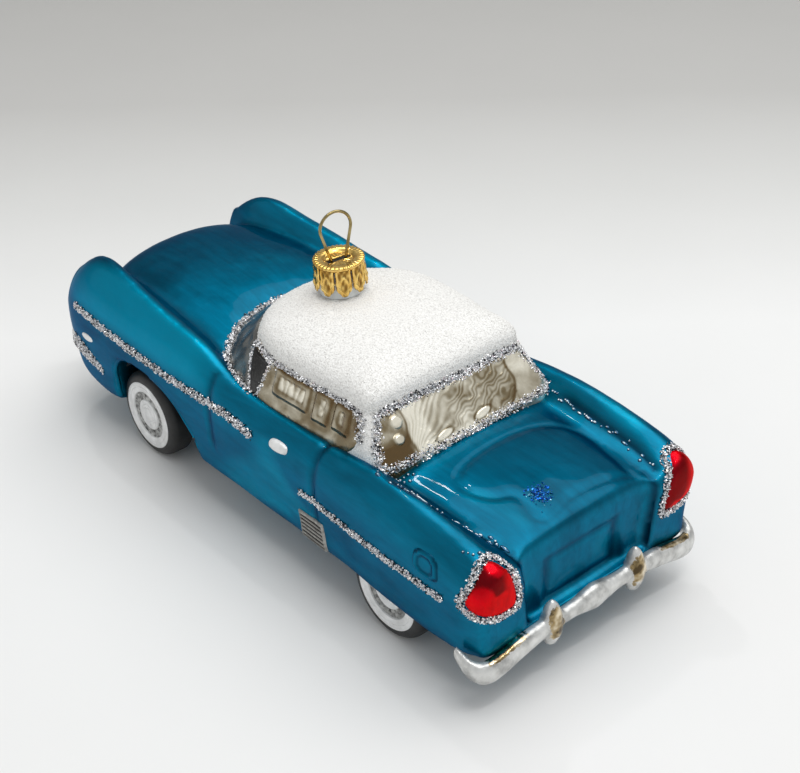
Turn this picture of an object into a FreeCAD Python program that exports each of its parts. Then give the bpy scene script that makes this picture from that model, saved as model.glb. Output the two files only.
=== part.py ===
"""Blown-glass car ornament: a family car of the 1950s with a crown cap and a wire hanging loop.

Frame: +X to the nose, +Y to the car's left, +Z up. The wheels stand on z = 0, and the origin lies
under the middle of the length and of the width. All sizes are in millimetres.
"""
import FreeCAD, Part
import Sketcher
import math
import os

from FreeCAD import Placement, Rotation, Vector

SIZES = [
    # glass form
    ("nose_x", 65.0, "front end of the glass body"),
    ("tail_x", -69.0, "rear end of the glass body"),
    ("half_width", 28.2, "widest half width, at the rear fenders"),
    ("wall", 1.0, "thickness of the blown glass"),
    ("floor_height", 10.2, "underside between the wheels"),
    ("side_height", 22.7, "height at which the sides are widest"),
    ("front_crest_height", 38.0, "top of the front fenders"),
    ("door_crest_height", 32.0, "top of the doors, below the side windows"),
    ("rear_crest_height", 33.7, "top of the rear fenders"),
    ("crest_y", 23.2, "line of the fender tops"),
    ("hood_height", 36.7, "top of the hood on the middle line"),
    ("deck_height", 31.0, "top of the trunk lid on the middle line"),
    ("glitter_lift", 0.5, "how far a glitter line stands off the glass"),
    # cabin
    ("belt_height", 31.2, "where the cabin grows out of the body"),
    ("header_height", 39.5, "upper edge of the windows"),
    ("roof_height", 46.2, "top of the roof"),
    ("cabin_front_x", 25.5, "foot of the windshield on the middle line"),
    ("cabin_rear_x", -38.5, "foot of the rear window on the middle line"),
    ("cabin_half_width", 23.2, "half width of the cabin at the belt"),
    ("roof_front_x", 12.0, "front edge of the roof on the middle line"),
    ("roof_rear_x", -32.4, "rear edge of the roof on the middle line"),
    ("roof_half_width", 20.0, "half width of the cabin at the header"),
    ("a_pillar_foot_x", -1.3, "windshield pillar at the belt"),
    ("a_pillar_head_x", 4.0, "windshield pillar at the roof"),
    ("c_pillar_front_x", -27.0, "rear end of the side window at the roof"),
    ("rear_window_foot_x", -36.0, "side edge of the rear window at the belt"),
    ("rear_window_head_x", -31.6, "side edge of the rear window at the roof"),
    # wheels
    ("front_axle_x", 35.6, "middle of the front wheels"),
    ("rear_axle_x", -42.8, "middle of the rear wheels"),
    ("tyre_radius", 9.7, "outer radius of a tyre"),
    ("whitewall_radius", 7.6, "outer radius of the white ring"),
    ("wheel_inner_y", 20.0, "inner face of a wheel"),
    ("wheel_outer_y", 25.5, "outer face of a wheel"),
    ("arch_x", 31.0, "middle of the front wheel arch"),
    ("arch_half_length", 17.3, "half length of the front wheel arch"),
    ("arch_rise", 13.2, "rise of the front wheel arch above the underside"),
    ("pan_depth", 5.6, "depth of the pan round a front wheel"),
    ("rim_radius", 5.0, "inner radius of the white ring"),
    ("hub_radius", 2.9, "radius of the hub relief"),
    # bumpers, lamps and relief
    ("tail_recess", 2.0, "how far the trunk's rear panel lies in from the fender ends"),
    ("recess_half_width", 16.8, "half width of that panel"),
    ("headlamp_y", 20.8, "middle of a headlamp across the car"),
    ("headlamp_z", 23.6, "middle height of a headlamp"),
    ("headlamp_radius", 3.7, "outer radius of a headlamp's rim"),
    ("guard_y", 10.7, "middle of a bumper guard across the car"),
    ("guard_rise", 5.2, "top of a bumper guard above the bar's middle line"),
    ("grille_half_width", 15.4, "half width of the grille"),
    ("grille_low_z", 19.6, "lower edge of the grille"),
    ("grille_top_z", 24.4, "upper edge of the grille"),
    ("grille_columns", 12, "openings across the grille"),
    ("grille_bar", 0.6, "width of a grille bar"),
    ("louvre_count", 5, "slots in a side vent"),
    ("rear_bumper_x", -69.8, "middle line of the rear bumper"),
    ("rear_bumper_height", 11.5, "middle height of the rear bumper"),
    ("front_bumper_x", 68.7, "middle line of the front bumper"),
    ("front_bumper_height", 15.6, "middle height of the front bumper"),
    ("glitter_width", 2.0, "width of a glitter line"),
    ("front_line_height", 27.3, "front side line at its rear end"),
    ("front_line_end_x", -7.1, "rear end of the front side line"),
    ("rear_line_height", 21.3, "rear side line"),
    ("rear_line_front_x", -21.0, "front end of the rear side line"),
    ("rear_line_rear_x", -60.7, "rear end of the rear side line"),
    ("vent_x", -25.3, "middle of the louvred vent"),
    ("vent_height", 15.6, "middle height of the louvred vent"),
    ("fuel_flap_x", -56.5, "middle of the fuel flap"),
    ("fuel_flap_height", 27.2, "middle height of the fuel flap"),
    ("handle_x", -16.0, "middle of a door handle"),
    ("handle_height", 28.8, "height of a door handle"),
    ("handle_length", 3.5, "length of a door handle"),
    ("handle_width", 1.7, "width of a door handle"),
    ("handle_rise", 0.9, "how far a door handle stands out"),
    ("lamp_top_y", 22.7, "tip of a tail lamp"),
    ("lamp_top_z", 31.2, "height of that tip"),
    ("lamp_inner_y", 18.3, "inner lower corner of a tail lamp"),
    ("lamp_low_z", 20.0, "height of the lamp's lower edge"),
    ("lamp_low_y", 25.0, "outer end of the lower edge"),
    ("lamp_outer_y", 28.5, "outer corner of a tail lamp"),
    ("lamp_outer_z", 24.2, "height of that corner"),
    # cap and hanger
    ("neck_x", -1.6, "where the neck leaves the roof"),
    ("neck_lean", 3.0, "lean of the neck and cap, in degrees"),
    ("neck_lean_way", 75.0, "direction of that lean, in degrees from the nose to the left"),
    ("neck_radius", 4.2, "outer radius of the glass neck"),
    ("neck_base_z", 42.2, "foot of the neck on its axis, inside the roof"),
    ("neck_length", 10.35, "length of the neck along its axis"),
    ("cap_radius", 5.0, "outer radius of the cap's top"),
    ("cap_height", 6.3, "height of the cap along its axis"),
    ("cap_sheet", 0.35, "thickness of the cap's metal"),
    ("cap_clearance", 0.3, "gap between the cap and the neck"),
    ("cap_slot_length", 5.2, "slot in the top of the cap"),
    ("cap_slot_width", 1.4, "width of that slot"),
    ("petal_count", 9, "petals round the cap's skirt"),
    ("petal_flare", 0.2, "how far the petals' tips stand out from the cap"),
    ("petal_gap", 2.6, "width of the notch between two petals' tips"),
    ("petal_length", 5.0, "length of a petal"),
    ("petal_point", 1.7, "length of a petal's pointed tip"),
    ("petal_slit", 0.24, "gap between two petals above their tips"),
    ("cap_dish", 0.5, "depth of the dish in the cap's top"),
    ("cap_dish_radius", 3.3, "radius of the dish at the cap's top"),
    ("cap_edge", 0.5, "bevel round the cap's top"),
    ("slot_turn", 80.0, "direction of the slot at rest, in degrees from the car's length"),
    ("leg_pinch", 1.55, "half the gap between the legs' middle lines in the slot"),
    ("leg_spread", 2.4, "half the spread of the legs' ends"),
    ("leg_depth", 5.0, "how far the legs reach below the cap's top"),
    ("leg_bend", 1.2, "bend radius of a leg's middle line in the slot"),
    ("wire_radius", 0.3, "radius of the hanger wire"),
    ("loop_radius", 3.3, "radius of the hanger loop's middle line"),
    ("loop_rise", 6.9, "loop's middle above the cap's top face, along the cap's axis"),
]

doc = FreeCAD.newDocument("glass_car")
sheet = doc.addObject("Spreadsheet::Sheet", "Sizes")
for row, (alias, value, words) in enumerate(SIZES, start=1):
    sheet.set(f"A{row}", alias)
    sheet.set(f"B{row}", str(value))
    sheet.set(f"C{row}", words)
    sheet.setAlias(f"B{row}", alias)
doc.recompute()


def size(alias):
    return float(sheet.get(alias))


PIECES = []


def piece(obj, label):
    """Give an object its node name and put it on the list of pieces."""
    obj.Label = label
    PIECES.append(obj)
    return obj


def solid_feature(name, shape):
    obj = doc.addObject("Part::Feature", name)
    obj.Shape = shape
    return obj


def cut(name, base, *tools):
    """Base less each tool, as a chain of cuts."""
    for number, tool in enumerate(tools, start=1):
        step = doc.addObject("Part::Cut", f"{name}_cut{number}")
        step.Base = base
        step.Tool = tool
        base = step
    return base


def common(name, base, tool):
    step = doc.addObject("Part::Common", name)
    step.Base = base
    step.Tool = tool
    return step


# Sketched pieces: neck, cap, hanger and wheels

neck_lean_way = math.radians(size("neck_lean_way"))
lean_axis = Vector(-math.sin(neck_lean_way), math.cos(neck_lean_way), 0)
neck_place = Placement(Vector(size("neck_x"), 0, size("neck_base_z")), Rotation(lean_axis, size("neck_lean")))


def origin_plane(body, role):
    return next(plane for plane in body.Origin.OriginFeatures if plane.Role == role)


def bound_sketch(body, name, role, corners):
    """Closed sketch of straight edges. Each corner is a pair of expressions and follows the sheet."""
    sketch = body.newObject("Sketcher::SketchObject", name)
    sketch.AttachmentSupport = [(origin_plane(body, role), "")]
    sketch.MapMode = "FlatFace"
    places = [Vector(float(sketch.evalExpression(x)), float(sketch.evalExpression(y)), 0) for x, y in corners]
    count = len(places)
    for index in range(count):
        sketch.addGeometry(Part.LineSegment(places[index], places[(index + 1) % count]), False)
    for index in range(count):
        sketch.addConstraint(Sketcher.Constraint("Coincident", index, 2, (index + 1) % count, 1))
    for index, (x, y) in enumerate(corners):
        for kind, value, words in (("DistanceX", places[index].x, x), ("DistanceY", places[index].y, y)):
            number = sketch.addConstraint(Sketcher.Constraint(kind, -1, 1, index, 1, value))
            sketch.setExpression(f"Constraints[{number}]", words)
    return sketch


def revolved(name, corners, role="XZ_Plane", axis="V_Axis"):
    """Body turned about an axis of its sketch from a closed profile."""
    body = doc.addObject("PartDesign::Body", name)
    sketch = bound_sketch(body, f"{name}_profile", role, corners)
    turn = body.newObject("PartDesign::Revolution", f"{name}_turn")
    turn.Profile = sketch
    turn.ReferenceAxis = (sketch, [axis])
    turn.Angle = 360
    body.Tip = turn
    return body


def pocket(body, name, sketch, reversed_way=False, through=True):
    feature = body.newObject("PartDesign::Pocket", name)
    feature.Profile = sketch
    feature.Type = 1 if through else 0
    feature.Reversed = reversed_way
    body.Tip = feature
    return feature


neck_tube = revolved("neck_tube", [
    ("Sizes.neck_radius - Sizes.wall", "0"), ("Sizes.neck_radius", "0"),
    ("Sizes.neck_radius", "Sizes.neck_length"), ("Sizes.neck_radius - Sizes.wall", "Sizes.neck_length")])
neck_tube.Placement = neck_place
neck_bore = revolved("neck_bore", [
    ("0", "0"), ("Sizes.neck_radius - Sizes.wall", "0"),
    ("Sizes.neck_radius - Sizes.wall", "Sizes.neck_length"), ("0", "Sizes.neck_length")])
neck_bore.Placement = neck_place

CAP_TOP = "(Sizes.neck_length + Sizes.cap_clearance + Sizes.cap_sheet)"
CAP_BASE = f"({CAP_TOP} - Sizes.cap_height)"
EDGE = "Sizes.cap_edge"
SHEET = "Sizes.cap_sheet"
BEVEL = "0.42 * Sizes.cap_sheet"
cap = revolved("cap_body", [
    ("0", f"{CAP_TOP} - Sizes.cap_dish"),
    ("Sizes.cap_dish_radius - Sizes.cap_dish", f"{CAP_TOP} - Sizes.cap_dish"),
    ("Sizes.cap_dish_radius", CAP_TOP), (f"Sizes.cap_radius - {EDGE}", CAP_TOP),
    ("Sizes.cap_radius", f"{CAP_TOP} - {EDGE}"), ("Sizes.cap_radius", f"{CAP_TOP} - 2 * {EDGE}"),
    ("Sizes.cap_radius + Sizes.petal_flare", CAP_BASE),
    (f"Sizes.cap_radius + Sizes.petal_flare - {SHEET}", CAP_BASE),
    (f"Sizes.cap_radius - {SHEET}", f"{CAP_TOP} - 2 * {EDGE}"),
    (f"Sizes.cap_radius - {SHEET}", f"{CAP_TOP} - {EDGE} - {BEVEL}"),
    (f"Sizes.cap_radius - {EDGE} - {BEVEL}", f"{CAP_TOP} - {SHEET}"),
    (f"Sizes.cap_dish_radius + {BEVEL}", f"{CAP_TOP} - {SHEET}"),
    (f"Sizes.cap_dish_radius - Sizes.cap_dish + {BEVEL}", f"{CAP_TOP} - Sizes.cap_dish - {SHEET}"),
    ("0", f"{CAP_TOP} - Sizes.cap_dish - {SHEET}")])
doc.recompute()
slot = bound_sketch(cap, "slot_outline", "XY_Plane", [
    (f"{x} * Sizes.cap_slot_length / 2", f"{y} * Sizes.cap_slot_width / 2")
    for x, y in ((-1, -1), (1, -1), (1, 1), (-1, 1))])
pocket(cap, "slot", slot, reversed_way=True)
notch = bound_sketch(cap, "notch_outline", "YZ_Plane", [
    ("-Sizes.petal_gap / 2", f"{CAP_BASE} - 0.1"), ("Sizes.petal_gap / 2", f"{CAP_BASE} - 0.1"),
    ("Sizes.petal_slit / 2", f"{CAP_BASE} + Sizes.petal_point"),
    ("Sizes.petal_slit / 2", f"{CAP_BASE} + Sizes.petal_length"),
    ("-Sizes.petal_slit / 2", f"{CAP_BASE} + Sizes.petal_length"),
    ("-Sizes.petal_slit / 2", f"{CAP_BASE} + Sizes.petal_point")])
doc.recompute()
notch_cut = pocket(cap, "notch", notch, reversed_way=True)
doc.recompute()
petals = cap.newObject("PartDesign::PolarPattern", "petals")
petals.Originals = [notch_cut]
petals.Axis = (notch, ["V_Axis"])
petals.Angle = 360
petals.setExpression("Occurrences", "Sizes.petal_count")
cap.Tip = petals
cap.Placement = neck_place * Placement(Vector(), Rotation(Vector(0, 0, 1), size("slot_turn")))
piece(cap, "cap")


def bent_wire(name, edges, start_along, radius):
    """Round wire swept along a run of lines and tangent arcs."""
    path = Part.Wire([edge.toShape() for edge in edges])
    start = edges[0].value(edges[0].FirstParameter)
    section = Part.Wire(Part.Circle(start, start_along, radius).toShape())
    return solid_feature(name, path.makePipeShell([section], True, False))


SLOT_Z = size("neck_length") + size("cap_clearance") - size("cap_dish") + size("cap_sheet") / 2
LOOP = size("loop_radius")
PINCH = size("leg_pinch")
BEND = size("leg_bend")
loop_middle = size("loop_rise")
reach = math.hypot(PINCH, loop_middle)
leg_angle = math.atan2(loop_middle, -PINCH) - math.asin(LOOP / reach)
leg_run = math.sqrt(reach ** 2 - LOOP ** 2)


def on_left(point):
    return Vector(-point.x, 0, point.z)


slot_point = Vector(PINCH, 0, 0)
touch = slot_point + Vector(math.cos(leg_angle), 0, math.sin(leg_angle)) * leg_run
foot = Vector(size("leg_spread"), 0, -size("leg_depth"))
to_loop = (touch - slot_point).normalize()
to_foot = (foot - slot_point).normalize()
bend_turn = math.pi - to_loop.getAngle(to_foot)
bend_start = slot_point + to_loop * (BEND * math.tan(bend_turn / 2))
bend_end = slot_point + to_foot * (BEND * math.tan(bend_turn / 2))
bend_middle = slot_point + (to_loop + to_foot).normalize() * (BEND / math.cos(bend_turn / 2) - BEND)
hanger_path = [
    Part.LineSegment(on_left(foot), on_left(bend_end)),
    Part.Arc(on_left(bend_end), on_left(bend_middle), on_left(bend_start)),
    Part.LineSegment(on_left(bend_start), on_left(touch)),
    Part.Arc(on_left(touch), Vector(0, 0, loop_middle + LOOP), touch),
    Part.LineSegment(touch, bend_start),
    Part.Arc(bend_start, bend_middle, bend_end),
    Part.LineSegment(bend_end, foot),
]
hanger = bent_wire("hanger_wire", hanger_path, on_left(bend_end) - on_left(foot), size("wire_radius"))
hanger.Placement = neck_place * Placement(Vector(0, 0, SLOT_Z), Rotation(Vector(0, 0, 1), size("slot_turn")))
piece(hanger, "hanger")


# Wheels: a tyre and a disc with its white ring and hub, turned about the car's width

SIDES = {"left": 1, "right": -1}


def wheel_pieces(end_name, axle_alias, side_name, side):
    tyre = revolved(f"tyre_{end_name}_{side_name}_turned", [
        ("Sizes.whitewall_radius", "0"), ("Sizes.tyre_radius - 0.8", "0"), ("Sizes.tyre_radius", "0.8"),
        ("Sizes.tyre_radius", "Sizes.wheel_outer_y - Sizes.wheel_inner_y - 1.6"),
        ("Sizes.tyre_radius - 0.6", "Sizes.wheel_outer_y - Sizes.wheel_inner_y - 0.5"),
        ("Sizes.whitewall_radius", "Sizes.wheel_outer_y - Sizes.wheel_inner_y")], role="XY_Plane")
    disc = revolved(f"disc_{end_name}_{side_name}_turned", [
        ("0", "0"), ("Sizes.whitewall_radius", "0"),
        ("Sizes.whitewall_radius", "Sizes.wheel_outer_y - Sizes.wheel_inner_y"),
        ("Sizes.rim_radius + 0.3", "Sizes.wheel_outer_y - Sizes.wheel_inner_y - 0.15"),
        ("Sizes.rim_radius", "Sizes.wheel_outer_y - Sizes.wheel_inner_y - 0.75"),
        ("Sizes.hub_radius", "Sizes.wheel_outer_y - Sizes.wheel_inner_y - 0.75"),
        ("Sizes.hub_radius - 0.5", "Sizes.wheel_outer_y - Sizes.wheel_inner_y - 0.2"),
        ("0", "Sizes.wheel_outer_y - Sizes.wheel_inner_y + 0.1")], role="XY_Plane")
    for body in (tyre, disc):
        body.Placement = Placement(Vector(), Rotation(Vector(0, 0, 1), 0 if side > 0 else 180))
        body.setExpression("Placement.Base.x", f"Sizes.{axle_alias}")
        body.setExpression("Placement.Base.y", f"{side} * Sizes.wheel_inner_y")
        body.setExpression("Placement.Base.z", "Sizes.tyre_radius")
    return tyre, disc


rear_wheels = {}
for side_name, side in SIDES.items():
    tyre, disc = wheel_pieces("front", "front_axle_x", side_name, side)
    piece(tyre, f"tyre_front_{side_name}")
    piece(disc, f"wheel_disc_front_{side_name}")
    rear_wheels[side_name] = wheel_pieces("rear", "rear_axle_x", side_name, side)

HEADLAMP = [("0", "0"), ("Sizes.headlamp_radius", "0"), ("Sizes.headlamp_radius", "2.6"),
            ("Sizes.headlamp_radius - 0.6", "3.2"), ("Sizes.headlamp_radius - 1.0", "2.8"),
            ("0.5 * Sizes.headlamp_radius", "3.5"), ("0", "3.8")]
headlamps = {}
for side_name, side in SIDES.items():
    lamp = revolved(f"headlamp_{side_name}_turned", HEADLAMP)
    lamp.Placement = Placement(Vector(), Rotation(Vector(0, 1, 0), 90))
    lamp.setExpression("Placement.Base.x", "Sizes.nose_x - 2.2")
    lamp.setExpression("Placement.Base.y", f"{side} * Sizes.headlamp_y")
    lamp.setExpression("Placement.Base.z", "Sizes.headlamp_z")
    headlamps[side_name] = lamp


# The glass form: guide lines along the car, and sections taken from them

NOSE = size("nose_x")
TAIL = size("tail_x")
HALF_WIDTH = size("half_width")
FLOOR = size("floor_height")
SIDE = size("side_height")
FRONT_CREST = size("front_crest_height")
DOOR_CREST = size("door_crest_height")
REAR_CREST = size("rear_crest_height")
CREST_Y = size("crest_y")
HOOD = size("hood_height")
DECK = size("deck_height")
WALL = size("wall")
LIFT = size("glitter_lift")


# Each guide line is a list of (share of the way from the middle to the nose or tail, value).
CREST_Z = [(-1.0, REAR_CREST - 6.4), (-0.975, REAR_CREST - 4.4), (-0.93, REAR_CREST - 2.6),
           (-0.8, REAR_CREST - 1.0), (-0.64, REAR_CREST), (-0.5, REAR_CREST - 0.3), (-0.34, DOOR_CREST + 0.2),
           (-0.1, DOOR_CREST), (0.05, DOOR_CREST + 1.0), (0.2, FRONT_CREST - 1.8), (0.38, FRONT_CREST - 0.6),
           (0.6, FRONT_CREST + 0.3), (0.76, FRONT_CREST + 0.9), (0.84, FRONT_CREST + 0.2), (0.91, FRONT_CREST - 3.2),
           (0.975, FRONT_CREST - 7.6), (1.0, FRONT_CREST - 11.0)]
CREST_AT = [(-1.0, CREST_Y - 1.6), (-0.95, CREST_Y - 0.4), (-0.5, CREST_Y - 0.2), (0.0, CREST_Y + 0.2),
            (0.8, CREST_Y), (0.93, CREST_Y - 0.2), (1.0, CREST_Y - 1.2)]
CROWN_Z = [(-1.0, DECK - 4.2), (-0.97, DECK - 2.4), (-0.9, DECK - 0.9), (-0.7, DECK), (-0.5, DECK - 0.2),
           (-0.4, DECK - 0.6), (0.0, DECK - 0.8), (0.25, HOOD - 4.2), (0.4, HOOD - 1.4), (0.6, HOOD),
           (0.74, HOOD - 0.1), (0.83, HOOD - 0.8), (0.9, HOOD - 2.6), (0.95, HOOD - 5.5), (1.0, HOOD - 11.0)]
VALLEY_Z = [(-1.0, DECK - 5.0), (-0.95, DECK - 3.2), (-0.75, DECK - 2.0), (-0.5, DECK - 1.4),
            (-0.3, DECK - 1.2), (0.05, DECK - 0.6), (0.25, HOOD - 3.4), (0.5, HOOD - 2.3), (0.7, HOOD - 2.8),
            (0.82, HOOD - 4.2), (0.9, HOOD - 6.6), (1.0, HOOD - 12.6)]
VALLEY_AT = [(-1.0, CREST_Y - 6.4), (-0.7, CREST_Y - 5.2), (-0.4, CREST_Y - 3.6), (0.0, CREST_Y - 3.0),
             (0.4, CREST_Y - 3.8), (0.8, CREST_Y - 4.8), (1.0, CREST_Y - 6.0)]
WIDTH = [(-1.0, HALF_WIDTH - 2.8), (-0.97, HALF_WIDTH - 1.0), (-0.9, HALF_WIDTH - 0.1), (-0.65, HALF_WIDTH),
         (-0.3, HALF_WIDTH - 0.6), (0.1, HALF_WIDTH - 0.2), (0.6, HALF_WIDTH), (0.86, HALF_WIDTH - 0.4),
         (0.95, HALF_WIDTH - 1.4), (1.0, HALF_WIDTH - 3.4)]
FLOOR_Z = [(-1.0, FLOOR + 1.6), (-0.97, FLOOR + 0.3), (-0.88, FLOOR - 0.4), (-0.5, FLOOR + 0.3), (0.0, FLOOR),
           (0.6, FLOOR), (0.75, FLOOR - 1.6), (0.88, FLOOR - 1.0), (0.96, FLOOR + 1.4), (1.0, FLOOR + 4.6)]
STATIONS = [-1.0, -0.985, -0.955, -0.9, -0.8, -0.68, -0.55, -0.42, -0.28, -0.12, 0.03, 0.14, 0.26, 0.4,
            0.55, 0.7, 0.79, 0.85, 0.91, 0.96, 1.0]
INNER_STATIONS = [-1.0, -0.95, -0.8, -0.6, -0.42, -0.25, -0.08, 0.06, 0.18, 0.3, 0.5, 0.7, 0.8, 0.88, 0.94, 1.0]
INNER_POINTS = [0, 2, 3, 5, 7, 9, 11, 13, 14]
FLAT = 1e-6  # a panel counts as flat up to this


def value_at(line, share):
    """Smooth value of a guide line: a cubic between its points, with the slope of their neighbours."""
    last = len(line) - 1
    index = max(i for i in range(last) if line[i][0] <= share)
    (left, low), (right, high) = line[index], line[index + 1]
    before = line[max(index - 1, 0)]
    after = line[min(index + 2, last)]
    span = right - left
    slope_low = (high - before[1]) / (right - before[0]) * span
    slope_high = (after[1] - low) / (after[0] - left) * span
    u = (share - left) / span
    return (low * (2 * u ** 3 - 3 * u ** 2 + 1) + slope_low * (u ** 3 - 2 * u ** 2 + u)
            + high * (3 * u ** 2 - 2 * u ** 3) + slope_high * (u ** 3 - u ** 2))


def half_section(share):
    """Points (y, z) of the left half of a section, from the underside's middle to the top's middle."""
    width = value_at(WIDTH, share)
    floor = value_at(FLOOR_Z, share)
    crest_y, crest_z = value_at(CREST_AT, share), value_at(CREST_Z, share)
    valley_y, valley_z = value_at(VALLEY_AT, share), value_at(VALLEY_Z, share)
    crown = value_at(CROWN_Z, share)
    side = SIDE - floor
    brow = crest_z - SIDE
    ledge = width - crest_y
    return [
        (0.0, floor), (0.5 * width, floor), (0.84 * width, floor + 0.01 * side),
        (0.935 * width, floor + 0.08 * side), (0.978 * width, floor + 0.45 * side), (width, SIDE),
        (width - 0.04 * ledge, SIDE + 0.42 * brow), (width - 0.3 * ledge, SIDE + 0.76 * brow),
        (crest_y + 0.36 * ledge, SIDE + 0.95 * brow), (crest_y, crest_z),
        (0.55 * crest_y + 0.45 * valley_y, 0.62 * crest_z + 0.38 * valley_z), (valley_y, valley_z),
        (0.74 * valley_y, 0.5 * valley_z + 0.5 * crown), (0.38 * valley_y, 0.12 * valley_z + 0.88 * crown),
        (0.0, crown),
    ]


def grown(points, grow):
    """A closed run of points moved outwards by grow, square to the run."""
    moved = []
    count = len(points)
    for index, (a, b) in enumerate(points):
        before, after = points[index - 1], points[(index + 1) % count]
        along = (after[0] - before[0], after[1] - before[1])
        length = math.hypot(*along)
        moved.append((a + grow * along[1] / length, b - grow * along[0] / length))
    return moved


def closed_run(points):
    """Closed wire of straight edges. A loft through such wires is smooth along the car and cheap to cut."""
    return Part.makePolygon(points + [points[0]])


def both_halves(half):
    """A half outline that starts and ends on the middle line, closed by its mirror image."""
    return half + [(-across, up) for across, up in reversed(half[1:-1])]


def panelled(rows):
    """Solid through closed runs of points, with a flat panel, or two where it is twisted, between each pair."""
    faces = [Part.Face(closed_run(rows[0])), Part.Face(closed_run(rows[-1]))]
    count = len(rows[0])
    for first, second in zip(rows, rows[1:]):
        for index in range(count):
            after = (index + 1) % count
            a, b, c, d = first[index], first[after], second[after], second[index]
            normal = (b - a).cross(d - a).normalize()
            if abs((c - a).dot(normal)) < FLAT:
                faces.append(Part.Face(closed_run([a, b, c, d])))
            else:
                faces += [Part.Face(closed_run([a, b, c])), Part.Face(closed_run([a, c, d]))]
    solid = Part.Solid(Part.Shell(faces))
    if solid.Volume < 0:
        solid.reverse()
    return solid


def body_rows(grow, tail, stations, picked=None):
    """Sections of the glass body below the cabin, grown by a distance on all sides."""
    rows = []
    for share in stations:
        end = NOSE + grow if share > 0 else -(tail - grow)
        half = half_section(share)
        if picked:
            half = [half[index] for index in picked]
        rows.append([Vector(share * end, y, z) for y, z in grown(both_halves(half), grow)])
    return rows


def body_form(grow):
    """The glass body as a solid, smooth along the car between its sections."""
    return Part.makeLoft([closed_run(row) for row in body_rows(grow, TAIL, STATIONS)], True, False)


BELT = size("belt_height")
HEADER = size("header_height")
ROOF = size("roof_height")
DOME_SQUARENESS = 3.2  # 2 is an ellipse, more is boxier
FRONT_SQUARENESS = 2.2  # the same along the car, ahead of the roof's middle


def cabin_outline(front, rear, half_width, corner_share, tail_share):
    """Half of a cabin outline seen from above, from its front to its rear, as points (y, x)."""
    length = front - rear
    corner = front - corner_share * length
    return [
        (0.0, front), (0.3 * half_width, front - 0.08 * corner_share * length),
        (0.6 * half_width, front - 0.38 * corner_share * length), (0.86 * half_width, corner),
        (0.97 * half_width, corner - 0.13 * length), (half_width, corner - 0.27 * length),
        (0.985 * half_width, corner - 0.45 * length), (0.955 * half_width, corner - 0.6 * length),
        (tail_share * half_width, rear + 0.035 * length), (0.84 * half_width, rear + 0.01 * length),
        (0.42 * half_width, rear + 0.003 * length), (0.0, rear),
    ]


def between(first, second, mix):
    """Run of points a share of the way from one run to another."""
    return [(a[0] + mix * (b[0] - a[0]), a[1] + mix * (b[1] - a[1])) for a, b in zip(first, second)]


def cabin_form(grow, shrinks):
    """Cabin from inside the body to the roof's top, as a solid, grown by a distance on all sides."""
    belt_half = cabin_outline(size("cabin_front_x"), size("cabin_rear_x"), size("cabin_half_width"), 0.2, 0.93)
    header_half = cabin_outline(size("roof_front_x"), size("roof_rear_x"), size("roof_half_width"), 0.2, 0.93)
    belt = grown(both_halves(belt_half), -grow)
    header = grown(both_halves(header_half), -grow)
    middle = 0.5 * (size("roof_front_x") + size("roof_rear_x"))
    levels = []
    for share in BELT_STEPS:
        levels.append((BELT + share * (HEADER - BELT), between(belt, header, max(share, 0.0))))
    for shrink in shrinks:
        rise = (1 - shrink ** DOME_SQUARENESS) ** (1 / DOME_SQUARENESS)
        front_shrink = (1 - rise ** FRONT_SQUARENESS) ** (1 / FRONT_SQUARENESS)
        run = [(y * shrink, middle + (x - middle) * (front_shrink if x > middle else shrink)) for y, x in header]
        levels.append((HEADER + rise * (ROOF + grow - HEADER), run))
    return panelled([[Vector(x, y, height) for y, x in run] for height, run in levels])


OUTER_SHRINKS = (0.975, 0.9, 0.78, 0.6, 0.38, 0.14)
INNER_SHRINKS = (0.95, 0.8, 0.5, 0.15)
BELT_STEPS = (-0.7, 0.0, 1.0)

body_full = solid_feature("body_full", body_form(0.0))
inner_tail = TAIL + size("tail_recess")
body_inner = solid_feature("body_inner", panelled(body_rows(-WALL, inner_tail, INNER_STATIONS, INNER_POINTS)))
body_grown = solid_feature("body_grown", body_form(LIFT))
cabin_outer = solid_feature("cabin_outer", cabin_form(0.0, OUTER_SHRINKS))
cabin_inner = solid_feature("cabin_inner", cabin_form(-WALL, INNER_SHRINKS))


# Tools that split the skins: prisms through the car, from outlines seen from the side or the rear

FAR = 100.0  # beyond the car on any side


def side_prism(name, points, side=0, clear=0.0):
    """Prism across the car from an outline (x, z): through it, or on one side from a distance outwards."""
    start = -FAR if side == 0 else side * clear
    depth = 2 * FAR if side == 0 else side * FAR
    corners = [Vector(x, start, z) for x, z in points]
    face = Part.Face(Part.makePolygon(corners + [corners[0]]))
    return solid_feature(name, face.extrude(Vector(0, depth, 0)))


def band(points, half_height):
    """Outline of a band of even height along a run of points (x, z)."""
    upper = [(x, z + half_height) for x, z in points]
    lower = [(x, z - half_height) for x, z in reversed(points)]
    return upper + lower


def leaning(base, top, height):
    """Where a line from base to top, both (x, z), stands at a height."""
    return base[0] + (top[0] - base[0]) * (height - base[1]) / (top[1] - base[1]), height


def end_prism(name, points, start, depth):
    """Prism along the car from an outline (y, z)."""
    corners = [Vector(start, y, z) for y, z in points]
    face = Part.Face(Part.makePolygon(corners + [corners[0]]))
    return solid_feature(name, face.extrude(Vector(depth, 0, 0)))


def frame_points(half_width, low, top):
    """Corners (y, z) of an upright rectangle about the middle line."""
    return [(-half_width, low), (half_width, low), (half_width, top), (-half_width, top)]


recess = end_prism("recess", frame_points(size("recess_half_width"), FLOOR + 3.0, FAR),
                   TAIL + size("tail_recess"), -FAR)
body_outer = cut("body_outer", body_full, recess)
body_coat = cut("body_coat", body_grown, body_full)
cabin_shell = cut("cabin_shell", cabin_outer, cabin_inner, body_full)

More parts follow.
